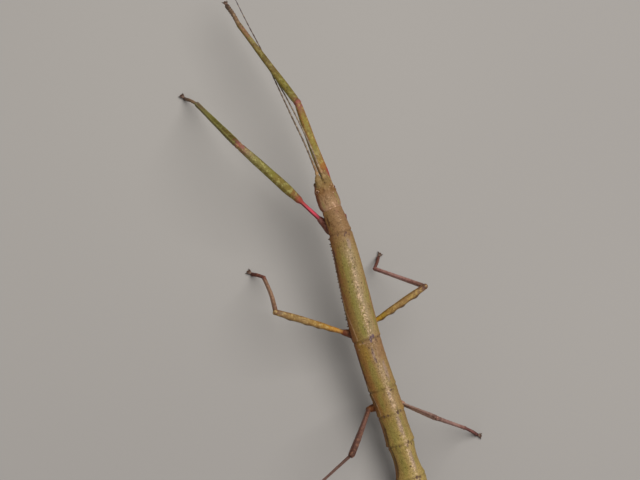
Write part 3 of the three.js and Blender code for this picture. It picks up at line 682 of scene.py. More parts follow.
# The softer marks of the trunk: colour, then where the sum with a noise starts and ends, and how strong it is.
# The lilac marks are violet-grey patches down the middle of the back, partly the shell's own tone and partly a painted
# highlight.
SOFT_MARKS = [("green", "7b763a", 0.7, 1.4, 0.55), ("gold", "8e6c30", 0.75, 1.5, 0.55),
               ("russet", "7c5340", 0.6, 1.3, 0.45), ("violet", "4c3a58", 0.85, 1.25, 0.85), ("smudge", "4e2f1c", 0.95, 1.3, 0.8),
              ("lilac", "937e76", 0.85, 1.3, 0.65), ("rim", "b49470", 0.8, 1.3, 0.65), ("fleck", "bc9c80", 0.8, 1.3, 0.55)]
LIMB_PAINTS = {
    "coxa_fore": {"stops": "0:603c30 60:6a3e34 100:7c4642", "blotches": "866058 3a2420", "ridge": "4c2420 60"},
    "coxa_mid_left": {"stops": "0:5a3020 100:6a3424", "blotches": "7c5038 34201a", "ridge": "38201a 60"},
    "coxa_mid_right": {"stops": "0:8a6428 100:b07a2c", "blotches": "b88c50 6a4420", "ridge": "5c3818 60"},
    "coxa_hind_left": {"stops": "0:5a3420 100:74401f", "blotches": "8a5c38 3c2418", "ridge": "38201a 60"},
    "coxa_hind_right": {"stops": "0:8a6450 100:ae8470", "blotches": "b89684 64463a", "ridge": "5c3c30 60"},
    "thigh_fore_left": {
        "stops": "0:a83a4e 8:c4425a 13:c44058 19:ac3e4e 26:92443a 33:764c32 40:72622a 47:6f6430 55:756630 62:706b2b 69:716b39 "
                 "76:706a36 82:7c7648 90:7c6a50 94:805a4e 97:80504c 100:7a4a48",
        "blotches": "9a965c 5c4f24", "ridge": "4c4020 60", "front": "858058 60", "rear": "6a5c30 60", "plain": 0.3,
        "edges": "6a2030 24"},
    "thigh_fore_right": {
        "stops": "0:6a5438 32:806444 37:82684a 41:7e5430 44:8c5c2a 47:906a30 50:7e6430 55:8a7c50 60:786e36 64:7c7030 70:827236 "
                 "74:7a6c36 79:7e7238 84:807230 90:7a6434 95:7c5040 100:84484a",
        "blotches": "9c8e50 6a5024", "ridge": "8a4a34 60", "front": "8a7c3c 50", "rear": "7a6e50 50", "blush": "8c2c34 33 43"},
    "thigh_mid_left": {
        "stops": "0:904c2c 5:a0662e 10:b07e34 19:ae7e34 27:a07a36 40:967438 50:8c6e3a 62:8e7650 75:80683f 85:887048 93:7e6a50 "
                 "99:6e5440",
        "blotches": "b09864 6a4826", "ridge": "6c442a 60", "front": "765628 70", "rear": "ac8a50 50"},
    "thigh_mid_right": {
        "stops": "0:bc8a1c 10:bc8c20 18:ac882c 26:9c8236 33:94743a 45:94784a 55:9a7e50 65:8e7048 77:8e7448 88:8a6e50 "
                 "95:765a4c 100:5e4642",
        "blotches": "b4985c 704e28", "ridge": "60381c 70", "front": "846a2c 60", "rear": "a48a5c 50"},
    "thigh_hind_left": {
        "stops": "0:6e4c38 10:68463a 20:74564a 30:72524a 45:6c4e48 60:684a42 75:62463e 90:583e36 100:4c322c",
        "blotches": "86604e 42261f", "ridge": "42201c 70", "front": "5c3428 50", "rear": "80564a 50"},
    "thigh_hind_right": {
        "stops": "0:ac9484 10:b49888 20:ac8a7e 35:a48274 50:a2806f 70:a4807a 88:98746a 96:806058 100:6a4c44",
        "blotches": "b09488 6c4c44", "ridge": "6c403a 60"},
    "shin_fore_left": {
        "stops": "0:824a4a 4:704838 10:56440f 18:534616 26:5c4c1e 40:57521c 55:5e581e 65:686326 76:6e6638 84:6c5c3c 92:625038 "
                 "100:706458",
        "blotches": "78733c 3e3614", "ridge": "9c9858 60", "front": "4c421a 50", "rear": "6c6836 50"},
    "shin_fore_right": {
        "stops": "0:8a464a 4:6c5030 11:68602c 26:6c6628 40:66562e 50:6c5e3c 58:544a20 66:6e5f34 76:705f40 84:7c5e46 93:805c48 100:6c5446",
        "blotches": "86804a 463c18", "ridge": "74582e 50", "front": "7e763c 60", "rear": "5c5030 50"},
    "shin_mid_left": {
        "stops": "0:6e5240 10:705040 20:80644c 35:8e7058 55:94765e 70:8a6c56 85:80604a 95:743c34 100:5c302a",
        "blotches": "a08270 64402f", "ridge": "5c2c24 60", "front": "74503e 40", "rear": "a08068 40"},
    "shin_mid_right": {
        "stops": "0:664c40 8:7c5c50 30:986e66 50:a67e78 70:a47a72 85:986a62 100:80504a",
        "blotches": "a8847c 64443e", "ridge": "602c28 50"},
    "shin_hind_left": {
        "stops": "0:705048 15:7c6058 60:8a6c64 100:785c54",
        "blotches": "9c7c70 5c403a", "ridge": "6a3430 50"},
    "shin_hind_right": {
        "stops": "0:6c5048 12:78584e 30:8e6a64 60:9c7670 75:946860 88:74443e 100:5c3430",
        "blotches": "a48278 5c3c36", "ridge": "64302c 50"},
    "foot_fore": {"stops": "0:80684e 40:705842 80:54443a 100:443630", "blotches": "8a745c 4a3a30", "ridge": "443830 50"},
    "foot_mid": {"stops": "0:64403a 40:5e3830 80:502f2a 100:402826", "blotches": "8c5a4c 40221f", "ridge": "3a1e1a 50"},
    "foot_hind": {"stops": "0:6c4644 50:5e3a38 100:44282a", "blotches": "8c5c54 402422", "ridge": "3a2020 50"},
    "stem": {"stops": "0:765e38 40:7a643c 68:7e6642 81:7c6444 86:a08060 100:946c46", "blotches": "947e58 5c472c",
             "ridge": "52401f 40"},
    "thread_left": {"stops": "0:86684a 8:6a5c4e 50:665a50 68:584e4c 85:565058 100:8a8480", "blotches": "988872 4a3c34", "ridge": "4a3c34 30"},
    "thread_right": {"stops": "0:947656 8:7c6e60 50:7a6e62 100:8c8278", "blotches": "a8987e 5c4e42", "ridge": "5c4e42 30"},
    "plate": {"stops": "0:64502e 50:6e5e36 100:58422c", "blotches": "827648 463422", "ridge": "46301c 30"},
    "mouth": {"stops": "0:745a3a 50:64482c 100:44291c", "blotches": "86704c 3c2618", "ridge": "341e14 40"},
}
PAINTS = {"trunk": trunk_paint(), "head": head_paint(), "eye": eye_paint(), "claw": claw_paint(), "floor": floor_paint()}
PAINTS |= {name: limb_paint(name, **colours) for name, colours in LIMB_PAINTS.items()}


# ---------------------------------------------------------------- trunk

# Soft marks on the trunk: station, turn in degrees, then half the length and half the spread in degrees.
MARKS = {
    "dark": [(8.5, -10, 0.3, 9), (8.9, -24, 0.35, 4), (8.8, 2, 0.3, 4), (8.5, 33, 0.3, 5), (10.8, 80, 0.7, 6),
             (11.8, 82, 0.7, 6), (14.1, 90, 0.9, 6), (16.3, 93, 0.9, 6), (19.2, 91, 0.9, 5),
             (27.0, 11, 0.9, 4), (28.5, 7, 0.6, 4), (33.5, -9, 0.25, 8), (37.0, -9, 0.45, 7),
             (41.8, -11, 0.4, 6), (42.4, -4, 0.3, 6), (47.4, -2, 0.45, 8), (53.4, -3, 0.4, 7), (59.3, 3, 0.4, 7),
             (65.5, -3, 0.4, 7), (70.8, 2, 0.4, 8), (25.5, -18, 0.35, 6), (25.4, 39, 0.25, 4), (25.1, -35, 0.2, 5),
             (37.0, -24, 0.35, 5), (37.1, 34, 0.35, 6), (37.1, 53, 0.4, 7), (42.3, -26, 0.4, 5), (42.1, 28, 0.35, 5),
             (33.6, -27, 0.12, 12), (47.5, -16, 0.3, 6), (47.6, 33, 0.3, 5), (53.5, 30, 0.35, 6), (59.3, -24, 0.3, 5),
             (65.3, 27, 0.3, 5), (71.0, -22, 0.3, 6)],
    "fleck": [(6.3, -6, 0.13, 8), (25.6, 34, 0.12, 10), (25.5, 52, 0.14, 8), (26.3, 66, 0.14, 6)],
    "russet": [(4.95, -4, 0.3, 12), (26.8, -10, 1.9, 30), (26.5, -45, 2.0, 20), (25.5, 20, 0.6, 12)],
    "gold": [(27.2, 38, 1.7, 26), (26.3, 56, 1.2, 14), (25.4, 65, 0.35, 8), (28.2, 78, 0.5, 8),
             (36.6, -38, 0.5, 12), (48.2, 52, 0.7, 12)],
    "green": [(13.4, 30, 2.0, 14), (17.0, 26, 2.6, 13), (21.0, 26, 2.8, 12), (24.0, 18, 1.2, 10), (30.5, 34, 2.9, 16),
              (35.0, 44, 1.5, 12), (39.8, 38, 2.2, 17), (44.6, 40, 2.5, 18), (51.0, 38, 2.8, 16), (17.0, -38, 2.2, 9), (22.0, -42, 2.6, 12),
              (56.4, 42, 2.4, 13)],
    "violet": [(25.0, 2, 0.4, 7), (24.8, -9, 0.35, 5), (25.5, 5, 0.35, 5), (37.2, -8, 0.3, 6), (48.0, -9, 0.4, 6)],
    "smudge": [(6.0, 66, 1.2, 12), (13.0, 82, 2.2, 11), (17.0, 86, 2.6, 10), (28.0, 92, 2.4, 12), (32.0, 90, 2.6, 12), (34.8, 74, 1.0, 9),
               (39.8, 76, 2.4, 12), (45.0, 78, 2.7, 13), (51.0, 80, 2.7, 13), (57.0, 80, 2.6, 12)],
    # The lilac rows lie down the middle of the back: partly the shell's own tone, partly a painted highlight.
    "lilac": [(10.2, -8, 1.2, 12), (39.0, 0, 2.0, 12), (27.6, 10, 1.6, 7), (34.2, 2, 0.8, 7), (44.6, -8, 2.0, 13),
              (30.5, -20, 2.2, 12)],
}
# Dark specks along the middle of the back: station and turn, each about DOT millimetres and degrees across.
DOTS = [(10.4, 3), (11.3, -5), (12.6, -4), (12.5, -17), (13.6, 1), (14.0, -4), (15.0, -2), (15.9, 34), (16.1, 19), (16.5, -18),
        (17.0, 2), (17.0, 35), (17.5, 40), (19.6, 7), (20.6, -23), (21.2, 4), (22.6, -8), (23.5, 14), (26.4, 20),
        (29.6, 8), (31.2, -12), (35.2, 6), (40.5, 14), (43.5, -16), (45.5, 10), (50.2, -8), (55.8, 9), (61.5, -5)]
DOT = (0.2, 4.5)
# The line of pale flecks down the back, partly its own pale line and partly a painted highlight: station, how strongly
# it shows and the turn of its middle.
CREAM = np.array([(4.6, 0.0, 4), (9.3, 0.1, 3), (11.5, 0.75, 3), (17.0, 0.8, 3), (21.0, 1.0, 3), (24.0, 0.8, 2),
                  (25.8, 0.35, 2), (29.0, 0.5, 1), (31.5, 0.8, -1), (36.0, 0.9, 0), (37.5, 0.5, -2), (39.5, 0.8, 0),
                  (44.0, 0.9, -1), (52.0, 0.6, 0), (66.0, 0.45, 0), (81.0, 0.2, 0)])
CREAM_SPREAD = 13.0
# The pale edge of the notum: station and turn.
RIM = np.array([(8.5, 93), (20.0, 84), (22.4, 67), (24.7, 57), (25.1, 57), (31.5, 88), (33.6, 75), (36.8, 66), (37.2, 88)])


def segment_numbers(station):
    """Width and height at each station."""
    names = list(TRUNK)
    starts = np.array([BORDERS[name] for name in names])
    index = (np.searchsorted(starts, station, side="right") - 1).clip(0, len(names) - 1)
    table = np.array([[*TRUNK[name][3], *TRUNK[name][4], TRUNK[name][0]] for name in names])[index]
    t = ((station - starts[index]) / table[:, 6]).clip(0, 1)
    weights = np.stack([(1 - t) * (1 - 2 * t), 4 * t * (1 - t), t * (2 * t - 1)], 1)
    return (table[:, :3] * weights).sum(1), (table[:, 3:6] * weights).sum(1)


def border_distance(station):
    """How far each station lies behind the nearest border of the trunk, negative in front of it."""
    inner = np.array(list(BORDERS.values()))[1:-1]
    apart = station[:, None] - inner
    return apart[np.arange(len(station)), np.abs(apart).argmin(axis=1)]


def rim_line(station, turns):
    """1 along the pale edge of the notum, on both sides."""
    turn = np.interp(station, *RIM.T)[:, None]
    shown = (station > RIM[0, 0]) & (station < RIM[-1, 0]) & (np.abs(station - 28.3) > 3.2)
    return bell(np.abs(turns)[None, :] / DEGREE - turn, 3.2) * shown[:, None]


def trunk_relief(station, turns):
    """Grooves, rims, keels and folds of the trunk's plates, in millimetres outwards."""
    turn = np.abs(turns) / DEGREE
    behind = border_distance(station)[:, None]
    relief = -0.12 * bell(behind, 0.12) + 0.05 * bell(behind + 0.36, 0.2) + 0.025 * bell(behind - 0.4, 0.25)
    relief = relief + 0.1 * np.where(turn < 90, np.cos(turns) ** 6, 0) + 0.035 * rim_line(station, turns)
    fold = np.where(station < BORDERS["median_segment"], 99.0, 112.0)[:, None]
    relief = relief - 0.07 * bell(turn - fold, 3.5) + 0.05 * bell(turn - fold + 10, 6.0)
    relief = relief - 0.05 * bell(turn - 132, 3.0) - 0.04 * bell(turn - 180, 7.0) + 0.03 * bell(turn - 158, 9.0)
    s = station[:, None]
    front = BORDERS["pronotum"]
    cross = bell(s - front - 1.55, 0.16) * np.where(turn < 75, 1, 0)
    line = bell(turn, 2.6) * ((s > front + 0.4) & (s < BORDERS["mesothorax"] - 0.4))
    rim = bell(s - front - 0.22, 0.16) + bell(turn - 80, 6) * (s < BORDERS["mesothorax"])
    relief = relief - 0.06 * cross - 0.06 * line + 0.05 * rim
    wrinkle = np.sin(s * 7.3 + 3 * np.sin(turn / 17)) * np.sin(turn / 5.1 + s * 0.9)
    return relief + 0.012 * wrinkle


def patches(rows, station, turns):
    """How strongly soft marks cover each point, from rows of station, turn, half length and half spread."""
    total = 0.0
    for at, turn, length, spread in rows:
        total = total + bell(station[:, None] - at, length) * bell(turns[None, :] / DEGREE - turn, spread)
    return np.minimum(total, 1.0)


# The pale line down the back, partly its own colour and partly a painted highlight.
def cream_line(station, turns):
    strength, middle = (np.interp(station, CREAM[:, 0], column)[:, None] for column in CREAM.T[1:])
    return strength * bell(turns[None, :] / DEGREE - middle, CREAM_SPREAD)


def trunk_tags(station, turns):
    """Everything that the trunk's paint reads, on a grid of stations and turns."""
    groove = bell(border_distance(station), 0.16)[:, None]
    marks = {name: patches(rows, station, turns) for name, rows in MARKS.items()}
    marks["dots"] = patches([(*place, *DOT) for place in DOTS], station, turns)
    return {"along": station[:, None], "cream": cream_line(station, turns), "groove": groove,
            "rim": rim_line(station, turns), **marks}


def round_end(count, length, reverse=False):
    """Offsets along and size shares of the rings that round off an end."""
    angles = np.linspace(0, 84, count + 1)[1:] * DEGREE
    offset, share = length * np.sin(angles), np.cos(angles)
    return (offset[::-1] * -1, share[::-1]) if reverse else (offset, share)


def trunk_grid():
    """The trunk's skin."""
    start, end = BORDERS["pronotum"] - 0.15, TAIL_END - 0.15
    inner = np.arange(start, end, TRUNK_STEP)
    front, front_share = round_end(5, 0.35, reverse=True)
    rear, rear_share = round_end(6, 0.55)
    station = np.concatenate([start + front, inner, inner[-1] + rear])
    share = np.concatenate([front_share, np.ones(len(inner)), rear_share])
    turns = turns_of(TRUNK_SIDES)
    held = station.clip(start, inner[-1])
    half_width, half_height = (size / 2 * share for size in segment_numbers(held))
    relief = trunk_relief(held, turns) * share[:, None]
    points = section(spine.frames(station), half_width, half_height, half_height, turns, relief)
    return Shell(station, turns, points, trunk_tags(station, turns))


# ---------------------------------------------------------------- head

# Marks on the head, in rows like those of the trunk.
HEAD_MARKS = {
    "pale": [(2.5, 8, 0.12, 4), (2.6, -4, 0.12, 3), (3.45, 0, 0.2, 4), (3.8, -5, 0.22, 5), (4.15, -10, 0.24, 6),
             (4.25, 24, 0.16, 6), (4.45, -6, 0.14, 9), (4.45, -38, 0.14, 5), (4.45, 26, 0.12, 5),
             (1.03, -20, 0.14, 5), (0.7, -44, 0.14, 5), (1.25, -52, 0.16, 6), (2.0, -26, 0.14, 5), (0.85, 66, 0.12, 4)],
    "green": [(3.6, -38, 0.7, 9), (3.4, 50, 0.8, 9), (2.4, -38, 0.6, 10)],
    "smudge": [(1.28, 20, 0.3, 9), (0.6, 36, 0.35, 10), (0.35, 2, 0.22, 7), (2.75, 0, 0.12, 5), (3.1, 34, 0.7, 5),
               (2.3, 22, 0.5, 4), (1.0, -32, 0.2, 7), (3.4, -24, 0.5, 4)],
    # A small dent at the front of the head between the feeler stems, painted dark as its shade.
    "notch_shade": [(0.1, -9, 0.22, 8)],
}
# How far round the top each furrow of the skull lies, as it runs back and inwards from an eye.
FURROW = {"from": 1.4, "to": 3.0, "turn": 20, "slant": 18}


def head_point(back, out, up):
    frames = spine.frames(back)
    return frames.at[0] + frames.across[0] * out + frames.up[0] * up


def head_relief(station, turns, points):
    """Rims round the eyes, furrows of the skull, bumps beside the feelers and a collar at the rear."""
    turn = np.abs(turns)[None, :] / DEGREE
    s = station[:, None]
    relief = -0.05 * bell(turn, 3) * ((s > 1.5) & (s < 4.1)) - 0.06 * bell(s - 4.12, 0.12) * (turn < 120)
    furrow = bell(turn - FURROW["turn"] - (FURROW["to"] - s) * FURROW["slant"], 4)
    relief = relief - 0.05 * furrow * ((s > FURROW["from"]) & (s < FURROW["to"]))
    relief = relief - 0.06 * bell(turn - 100, 5) * (s > 1.0) + 0.04 * bell(s - 4.32, 0.12)
    relief = relief - 0.15 * patches(HEAD_MARKS["notch_shade"], station, turns)
    for side in (1, -1):
        eye = head_point(EYE["back"], side * EYE["out"], EYE["up"])
        relief = relief + 0.1 * bell(np.linalg.norm(points - eye, axis=2) - 0.56, 0.11)
        horn = head_point(1.0, side * 0.42, 1.1)
        relief = relief + 0.12 * bell(np.linalg.norm(points - horn, axis=2), 0.2)
    return relief


def blurred(values):
    """The same values with their corners softened."""
    wide = np.pad(values, 2, mode="edge")
    return np.convolve(wide, [0.1, 0.2, 0.4, 0.2, 0.1], mode="valid")


def head_grid():
    """The head's skin."""
    length = HEAD["length"] - GAP / 2
    front, front_share = round_end(5, 0.3, reverse=True)
    rear, rear_share = round_end(5, 0.35)
    inner = np.linspace(0, length, 44)
    station = np.concatenate([front, inner, length + rear])
    share = np.concatenate([front_share, np.ones(len(inner)), rear_share])
    at, width, top, bottom = HEAD_SECTIONS.T
    held = (station / length).clip(0, 1)
    half_width, top, bottom = (blurred(np.interp(held, at, v)) * share for v in (width / 2, top, bottom))
    turns = turns_of(TRUNK_SIDES)
    frames = spine.frames(station)
    bare = section(frames, half_width, top, bottom, turns)
    relief = head_relief(station, turns, bare) * share[:, None]
    points = section(frames, half_width, top, bottom, turns, relief)
    marks = {name: patches(rows, station, turns) for name, rows in HEAD_MARKS.items()}
    return Shell(station, turns, points, {"along": held[:, None], **marks})


def make_neck():
    """The soft collar between the head and the first plate."""
    station = np.arange(3.8, 5.4, 0.1)
    turns = turns_of(48)
    pleats = 0.04 * np.sin(station * 22)[:, None] * np.ones(len(turns))
    points = section(spine.frames(station), 1.3, 1.05, 1.05, turns, pleats)
    return tube("neck", points, PAINTS["coxa_fore"], along=0.5)


# ---------------------------------------------------------------- limbs

def corners(turns):
    """1 at the four corners of a limb's section and 0 between them."""
    return np.cos(2 * (np.abs(turns) - 45 * DEGREE)) ** 2


def limb(name, points, rows, material, sides=LIMB_SIDES, step=LIMB_STEP, ridges=0.05, relief=None, reference=None,
         mirror=1, teeth=None):
    """A round-ended limb along a line, with ridges at its corners and any further relief(share, turns).

    teeth is how high the teeth stand, how dark they are, and their shape(share, turns).
    """
    line = Line(points)
    overall = unit(np.asarray(points[-1], float) - np.asarray(points[0], float))
    if reference is None:
        reference = TAILWARD if abs(overall[2]) > 0.85 else UP
    inner = np.linspace(0, line.length, max(4, round(line.length / step)) + 1)
    first, last = (eased(rows, np.array([share]))[1][0] / 2 for share in (0, 1))
    front, front_share = round_end(4, first, reverse=True)
    rear, rear_share = round_end(4, last)
    distance = np.concatenate([front, inner, line.length + rear])
    size = np.concatenate([front_share, np.ones(len(inner)), rear_share])
    share = (distance / line.length).clip(0, 1)
    width, depth = eased(rows, share)
    turns = turns_of(sides)
    waver = 1 + 0.35 * np.sin(distance * 5.3) * np.sin(distance * 1.9)
    shape = waver[:, None] * ridges * (corners(turns) ** 5 - 0.25)
    tags = {"ridge": corners(turns) ** 6}
    if relief:
        shape = shape + relief(share, turns)
    if teeth:
        high, dark, toothed = teeth
        shape = shape + high * toothed(share, turns)
        tags["tooth"] = (dark * toothed(share, turns)).clip(0, 1)
    half_width, half_depth = width / 2 * size, depth / 2 * size
    made = section(line.frames(distance, reference), half_width, half_depth, half_depth, turns, shape * size[:, None])
    made[..., 2] = made[..., 2].clip(0.0)
    return tube(name, made, material, along=share[:, None], side=np.sin(turns) * mirror, **tags)


def bowed(start, end, bow):
    start, end = np.asarray(start, float), np.asarray(end, float)
    return [start, (start + end) / 2 + np.asarray(bow, float), end]


def ringed(profile):
    """The same relief all the way round a limb, from profile(share)."""
    return lambda share, turns: np.repeat(profile(share)[:, None], len(turns), axis=1)


def thigh_rings(share):
    """A narrow groove at the knee."""
    return -0.06 * bell(share - 0.985, 0.012)


def shin_rings(share):
    """A groove below the knee and a slight flare at the ankle."""
    return -0.05 * bell(share - 0.035, 0.015) + 0.04 * bell(share - 0.975, 0.02)


def foot_rings(share):
    """Five joints, each wider at its end."""
    joints = [-0.09 * bell(share - at, 0.02) + 0.04 * bell(share - at + 0.05, 0.03) for at in FOOT_JOINTS]
    return sum(joints)


def stem_rings(share):
    """A waist between the flat first joint of a feeler and the small second one."""
    return -0.06 * bell(share - 0.84, 0.025)


def thread_rings(share):
    """The many joints of a feeler's thread, longer towards its tip."""
    return 0.02 * np.cos(2 * math.pi * THREAD_JOINTS * share**0.9)


def lobes_towards(turn):
    """The lobes of a mid thigh's lower rear edge, which faces the given turn."""
    def shape(share, turns):
        along = sum(bell(share - at, LOBES["length"]) for at in LOBES["at"])
        return along[:, None] * bell((turns[None, :] - turn) / DEGREE, LOBES["spread"])
    return shape


def turn_below(points, tailward):
    """The turn, in radians, that faces down and tailward on a limb along these points."""
    line = Line(points)
    frames = line.frames(line.length / 2)
    along = frames.along[0]
    down = unit(-UP + along * along[2])
    rear = np.cross(along, down)
    rear = rear if rear[1] > 0 else -rear
    way = down * math.cos(tailward * DEGREE) + rear * math.sin(tailward * DEGREE)
    return math.atan2(way @ frames.across[0], way @ frames.up[0])


def paint_for(part, leg):
    """The paint of that leg alone, or of its pair."""
    return PAINTS.get(f"{part}_{leg}") or PAINTS[f"{part}_{LEGS[leg][0]}"]


def scaled_rows(rows, factor):
    return [(share, width * factor, depth * factor) for share, width, depth in rows]


def make_leg(name):
    """The four tubes of a leg: coxa, thigh, shin and foot."""
    kind, station, hip, knee, ankle, toe, bow = LEGS[name]
    hip, knee, ankle, toe = (np.array(p) for p in (hip, knee, ankle, toe))
    frames = spine.frames(station)
    side = math.copysign(1, (hip - frames.at[0]) @ frames.across[0])
    inner = frames.at[0] - frames.up[0] * COXA["inside"] + frames.across[0] * side * COXA["out"]
    start = hip - unit(knee - hip) * 0.1
    thigh_line = bowed(start, knee, bow)
    shin_line = bowed(knee, ankle, SHIN_BOW.get(name, (0, 0, 0)))
    foot_line = bowed(ankle, toe, (0, 0, FOOT_ARCH))
    thigh, shin, foot = (scaled_rows(table[kind], factor) for table, factor in zip((THIGH, SHIN, FOOT), GIRTH[name]))
    teeth = None
    if kind == "mid":
        teeth = (LOBES["height"][name], LOBES["dark"][name], lobes_towards(turn_below(thigh_line, LOBES["turn"])))
    return {
        "coxa": limb("coxa_" + name + "_skin", [inner, start], COXA["rows"], paint_for("coxa", name), 24, ridges=0.06),
        "thigh": limb("thigh_" + name, thigh_line, thigh, paint_for("thigh", name), ridges=0.06,
                      relief=ringed(thigh_rings), mirror=side, teeth=teeth),
        "shin": limb("shin_" + name, shin_line, shin, paint_for("shin", name), ridges=0.045,
                     relief=ringed(shin_rings), mirror=side),
        "foot": limb("foot_" + name, foot_line, foot, paint_for("foot", name), 16, 0.08, 0.02, ringed(foot_rings)),
    }


def make_feeler(side):
    """The flat stem and the thread of many joints."""
    stem, thread = ANTENNAE[side]
    return {
        "stem": limb("feeler_stem_" + side, stem, STEM, PAINTS["stem"], 20, 0.06, 0.03, ringed(stem_rings)),
        "thread": limb("feeler_thread_" + side, thread, THREAD, PAINTS["thread_" + side], THREAD_SIDES, THREAD_STEP, 0.0,
                       ringed(thread_rings)),
    }


def make_cercus(side):
    frames = spine.frames(TAIL_END)
    at, across, up, along = (v[0] for v in (frames.at, frames.across, frames.up, frames.along))
    root = at + across * side * CERCUS["out"] + up * CERCUS["up"] - along * CERCUS["inside"]
    splay = side * CERCUS["splay"] * DEGREE
    way = np.array([along[0] * math.cos(splay) + along[1] * math.sin(splay),
                    along[1] * math.cos(splay) - along[0] * math.sin(splay), along[2]])
    tip = root + way * CERCUS["length"]
    return limb(f"cercus_{side}_skin", [root, tip], CERCUS["rows"], PAINTS["stem"], 16, 0.08, 0.02)


def make_skin(trunk, head):
    """Trunk, head, legs and feelers as one closed skin."""
    legs = [make_leg(name) for name in LEGS]
    feelers = [make_feeler(side) for side in ANTENNAE]
    groups = [[make_neck()], [head.mesh("head_skin", PAINTS["head"])]]
    groups += [[leg[part] for leg in legs] for part in ("coxa", "thigh", "shin", "foot")]
    groups += [[feeler[part] for feeler in feelers] for part in ("stem", "thread")]
    groups += [[make_cercus(side) for side in (1, -1)]]
    skin = trunk.mesh("trunk", PAINTS["trunk"], BORDERS["abdomen_2"])
    for number, pieces in enumerate(groups):
        skin = merged(skin, joined(f"group_{number}", pieces))
    skin.name = skin.data.name = "skin"
    skin.data.polygons.foreach_set("use_smooth", [True] * len(skin.data.polygons))
    fleshy = ["head", *TRUNK]
    fleshy += [f"{part}_{side}" for part in ("antenna_base", "antenna", "cercus") for side in ("left", "right")]
    fleshy += [f"{part}_{leg}" for leg in LEGS for part in ("coxa", "femur", "tibia", "tarsus")]
    wear(skin, "shell", *fleshy)


# ---------------------------------------------------------------- separate parts

def wear(piece, slot, *nodes):
    """Fixes a piece to the still body, in place of the solids that it covers."""
    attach(piece, "root")
    if nodes:
        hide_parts(*nodes)


def make_plate():
    """The boat-shaped plate under the end of the abdomen, flat where it rests."""
    stations = np.arange(PLATE["from"], PLATE["to"], 0.12)
    t = (stations - PLATE["from"]) / (PLATE["to"] - PLATE["from"])
    swell = np.sin(math.pi * (PLATE_BELLY["from"] + (PLATE_BELLY["to"] - PLATE_BELLY["from"]) * t))
    swell = swell ** PLATE_BELLY["fullness"]
    frames = spine.frames(stations)
    low, high = PLATE["depth"]
    depth = (frames.at[:, 2] + PLATE["sink"]) * (low + (high - low) * swell)
    turns = turns_of(40)
    keel = 0.05 * bell(np.abs(turns) - math.pi, 0.12) - 0.03 * bell(np.abs(turns) - 2.5, 0.1)
    points = section(frames, PLATE["width"] / 2 * swell, PLATE["top"], depth, turns, keel)
    points[..., 2] = points[..., 2].clip(0.0)
    plate = tube("tail_plate", points, PAINTS["plate"], along=t[:, None], ridge=bell(np.abs(turns) - math.pi, 0.1))
    wear(plate, "dark_shell", "subgenital_plate")


def make_eye(name, side):
    """A ball whose front shows, tilted up and a little forwards."""
    centre = head_point(EYE["back"], side * EYE["out"], EYE["up"])
    frames = spine.frames(EYE["back"])
    tilt, forwards = EYE["tilt"] * DEGREE, EYE["forwards"] * DEGREE
    sideways = frames.across[0] * side * math.cos(tilt) + frames.up[0] * math.sin(tilt)
    outwards = sideways * math.cos(forwards) - frames.along[0] * math.sin(forwards)
    line = Line([centre - outwards * EYE["radius"], centre + outwards * EYE["radius"]])
    angles = np.linspace(4, 176, 36) * DEGREE
    rings = line.frames(EYE["radius"] * (1 - np.cos(angles)))
    radius = EYE["radius"] * np.sin(angles)
    points = section(rings, radius, radius, radius, turns_of(40))
    eye = tube(f"eye_{name}_ball", points, PAINTS["eye"], along=1 - angles[:, None] / math.pi)
    wear(eye, "eye", "eye_" + name)


def make_mouth():
    """Upper lip, jaws and two pairs of palps under the front of the head."""
    line, rows = LIP
    pieces = [limb("lip", [head_point(*p) for p in line], rows, PAINTS["mouth"], 24, 0.08, 0.0, reference=TAILWARD)]
    for side in (1, -1):
        for name, (line, rows) in MOUTH_SIDES.items():
            points = [head_point(back, side * out, up) for back, out, up in line]
            pieces.append(limb(name, points, rows, PAINTS["mouth"], 14, 0.07, 0.01))
    wear(joined("mouth", pieces), "dark_shell", "mouthparts")


def make_claws(name):
    """Two hooked claws and the pad between them, flat where they stand."""
    ankle, toe = (np.array(p) for p in LEGS[name][4:6])
    onward = unit((toe - ankle) * (1, 1, 0))
    across = np.cross(onward, UP)
    middle = toe + onward * (GAP + CLAW_REACH)
    pieces = []
    for side, (line, rows) in ((1, CLAW), (-1, CLAW), (0, PAD)):
        points = [middle + onward * a + across * side * b + UP * c for a, b, c in line]
        pieces.append(limb("claw", points, rows, PAINTS["claw"], 14, 0.05, 0.0))
    wear(joined("hooks_" + name, pieces), "claw", "claws_" + name)


# ---------------------------------------------------------------- knobs of the shell

KNOB_SIDES = 8
KNOB_CELL = 0.0036  # smallest spacing on the bake's map
KNOB_RINGS = ((1.1, -0.5), (0.8, 0.55))  # how far out and how high each ring of a knob lies
# Columns: how many, then the range of radius and of tone, where -1 is a dark dot and 1 a pale one.
GRAINS = {"fine": (2400, (0.05, 0.09), (-0.2, 0.08)), "pale": (240, (0.05, 0.08), (0.1, 0.45)),
          "dots": (150, (0.05, 0.08), (-0.8, -0.35))}
# Where the dark dots gather along the trunk: station and half the length.
DOT_PLACES = ((14.5, 3.5), (21.5, 3.0), (36.5, 1.2), (46.0, 3.0), (25.5, 1.0))
EDGE_TEETH = {"spacing": 0.5, "turn": (95, 109), "radius": 0.13, "height": (0.12, 0.27), "tone": (-0.75, -0.3)}
HEAD_GRAINS = 150
KNOB_HEIGHT = 0.5  # of a knob's radius


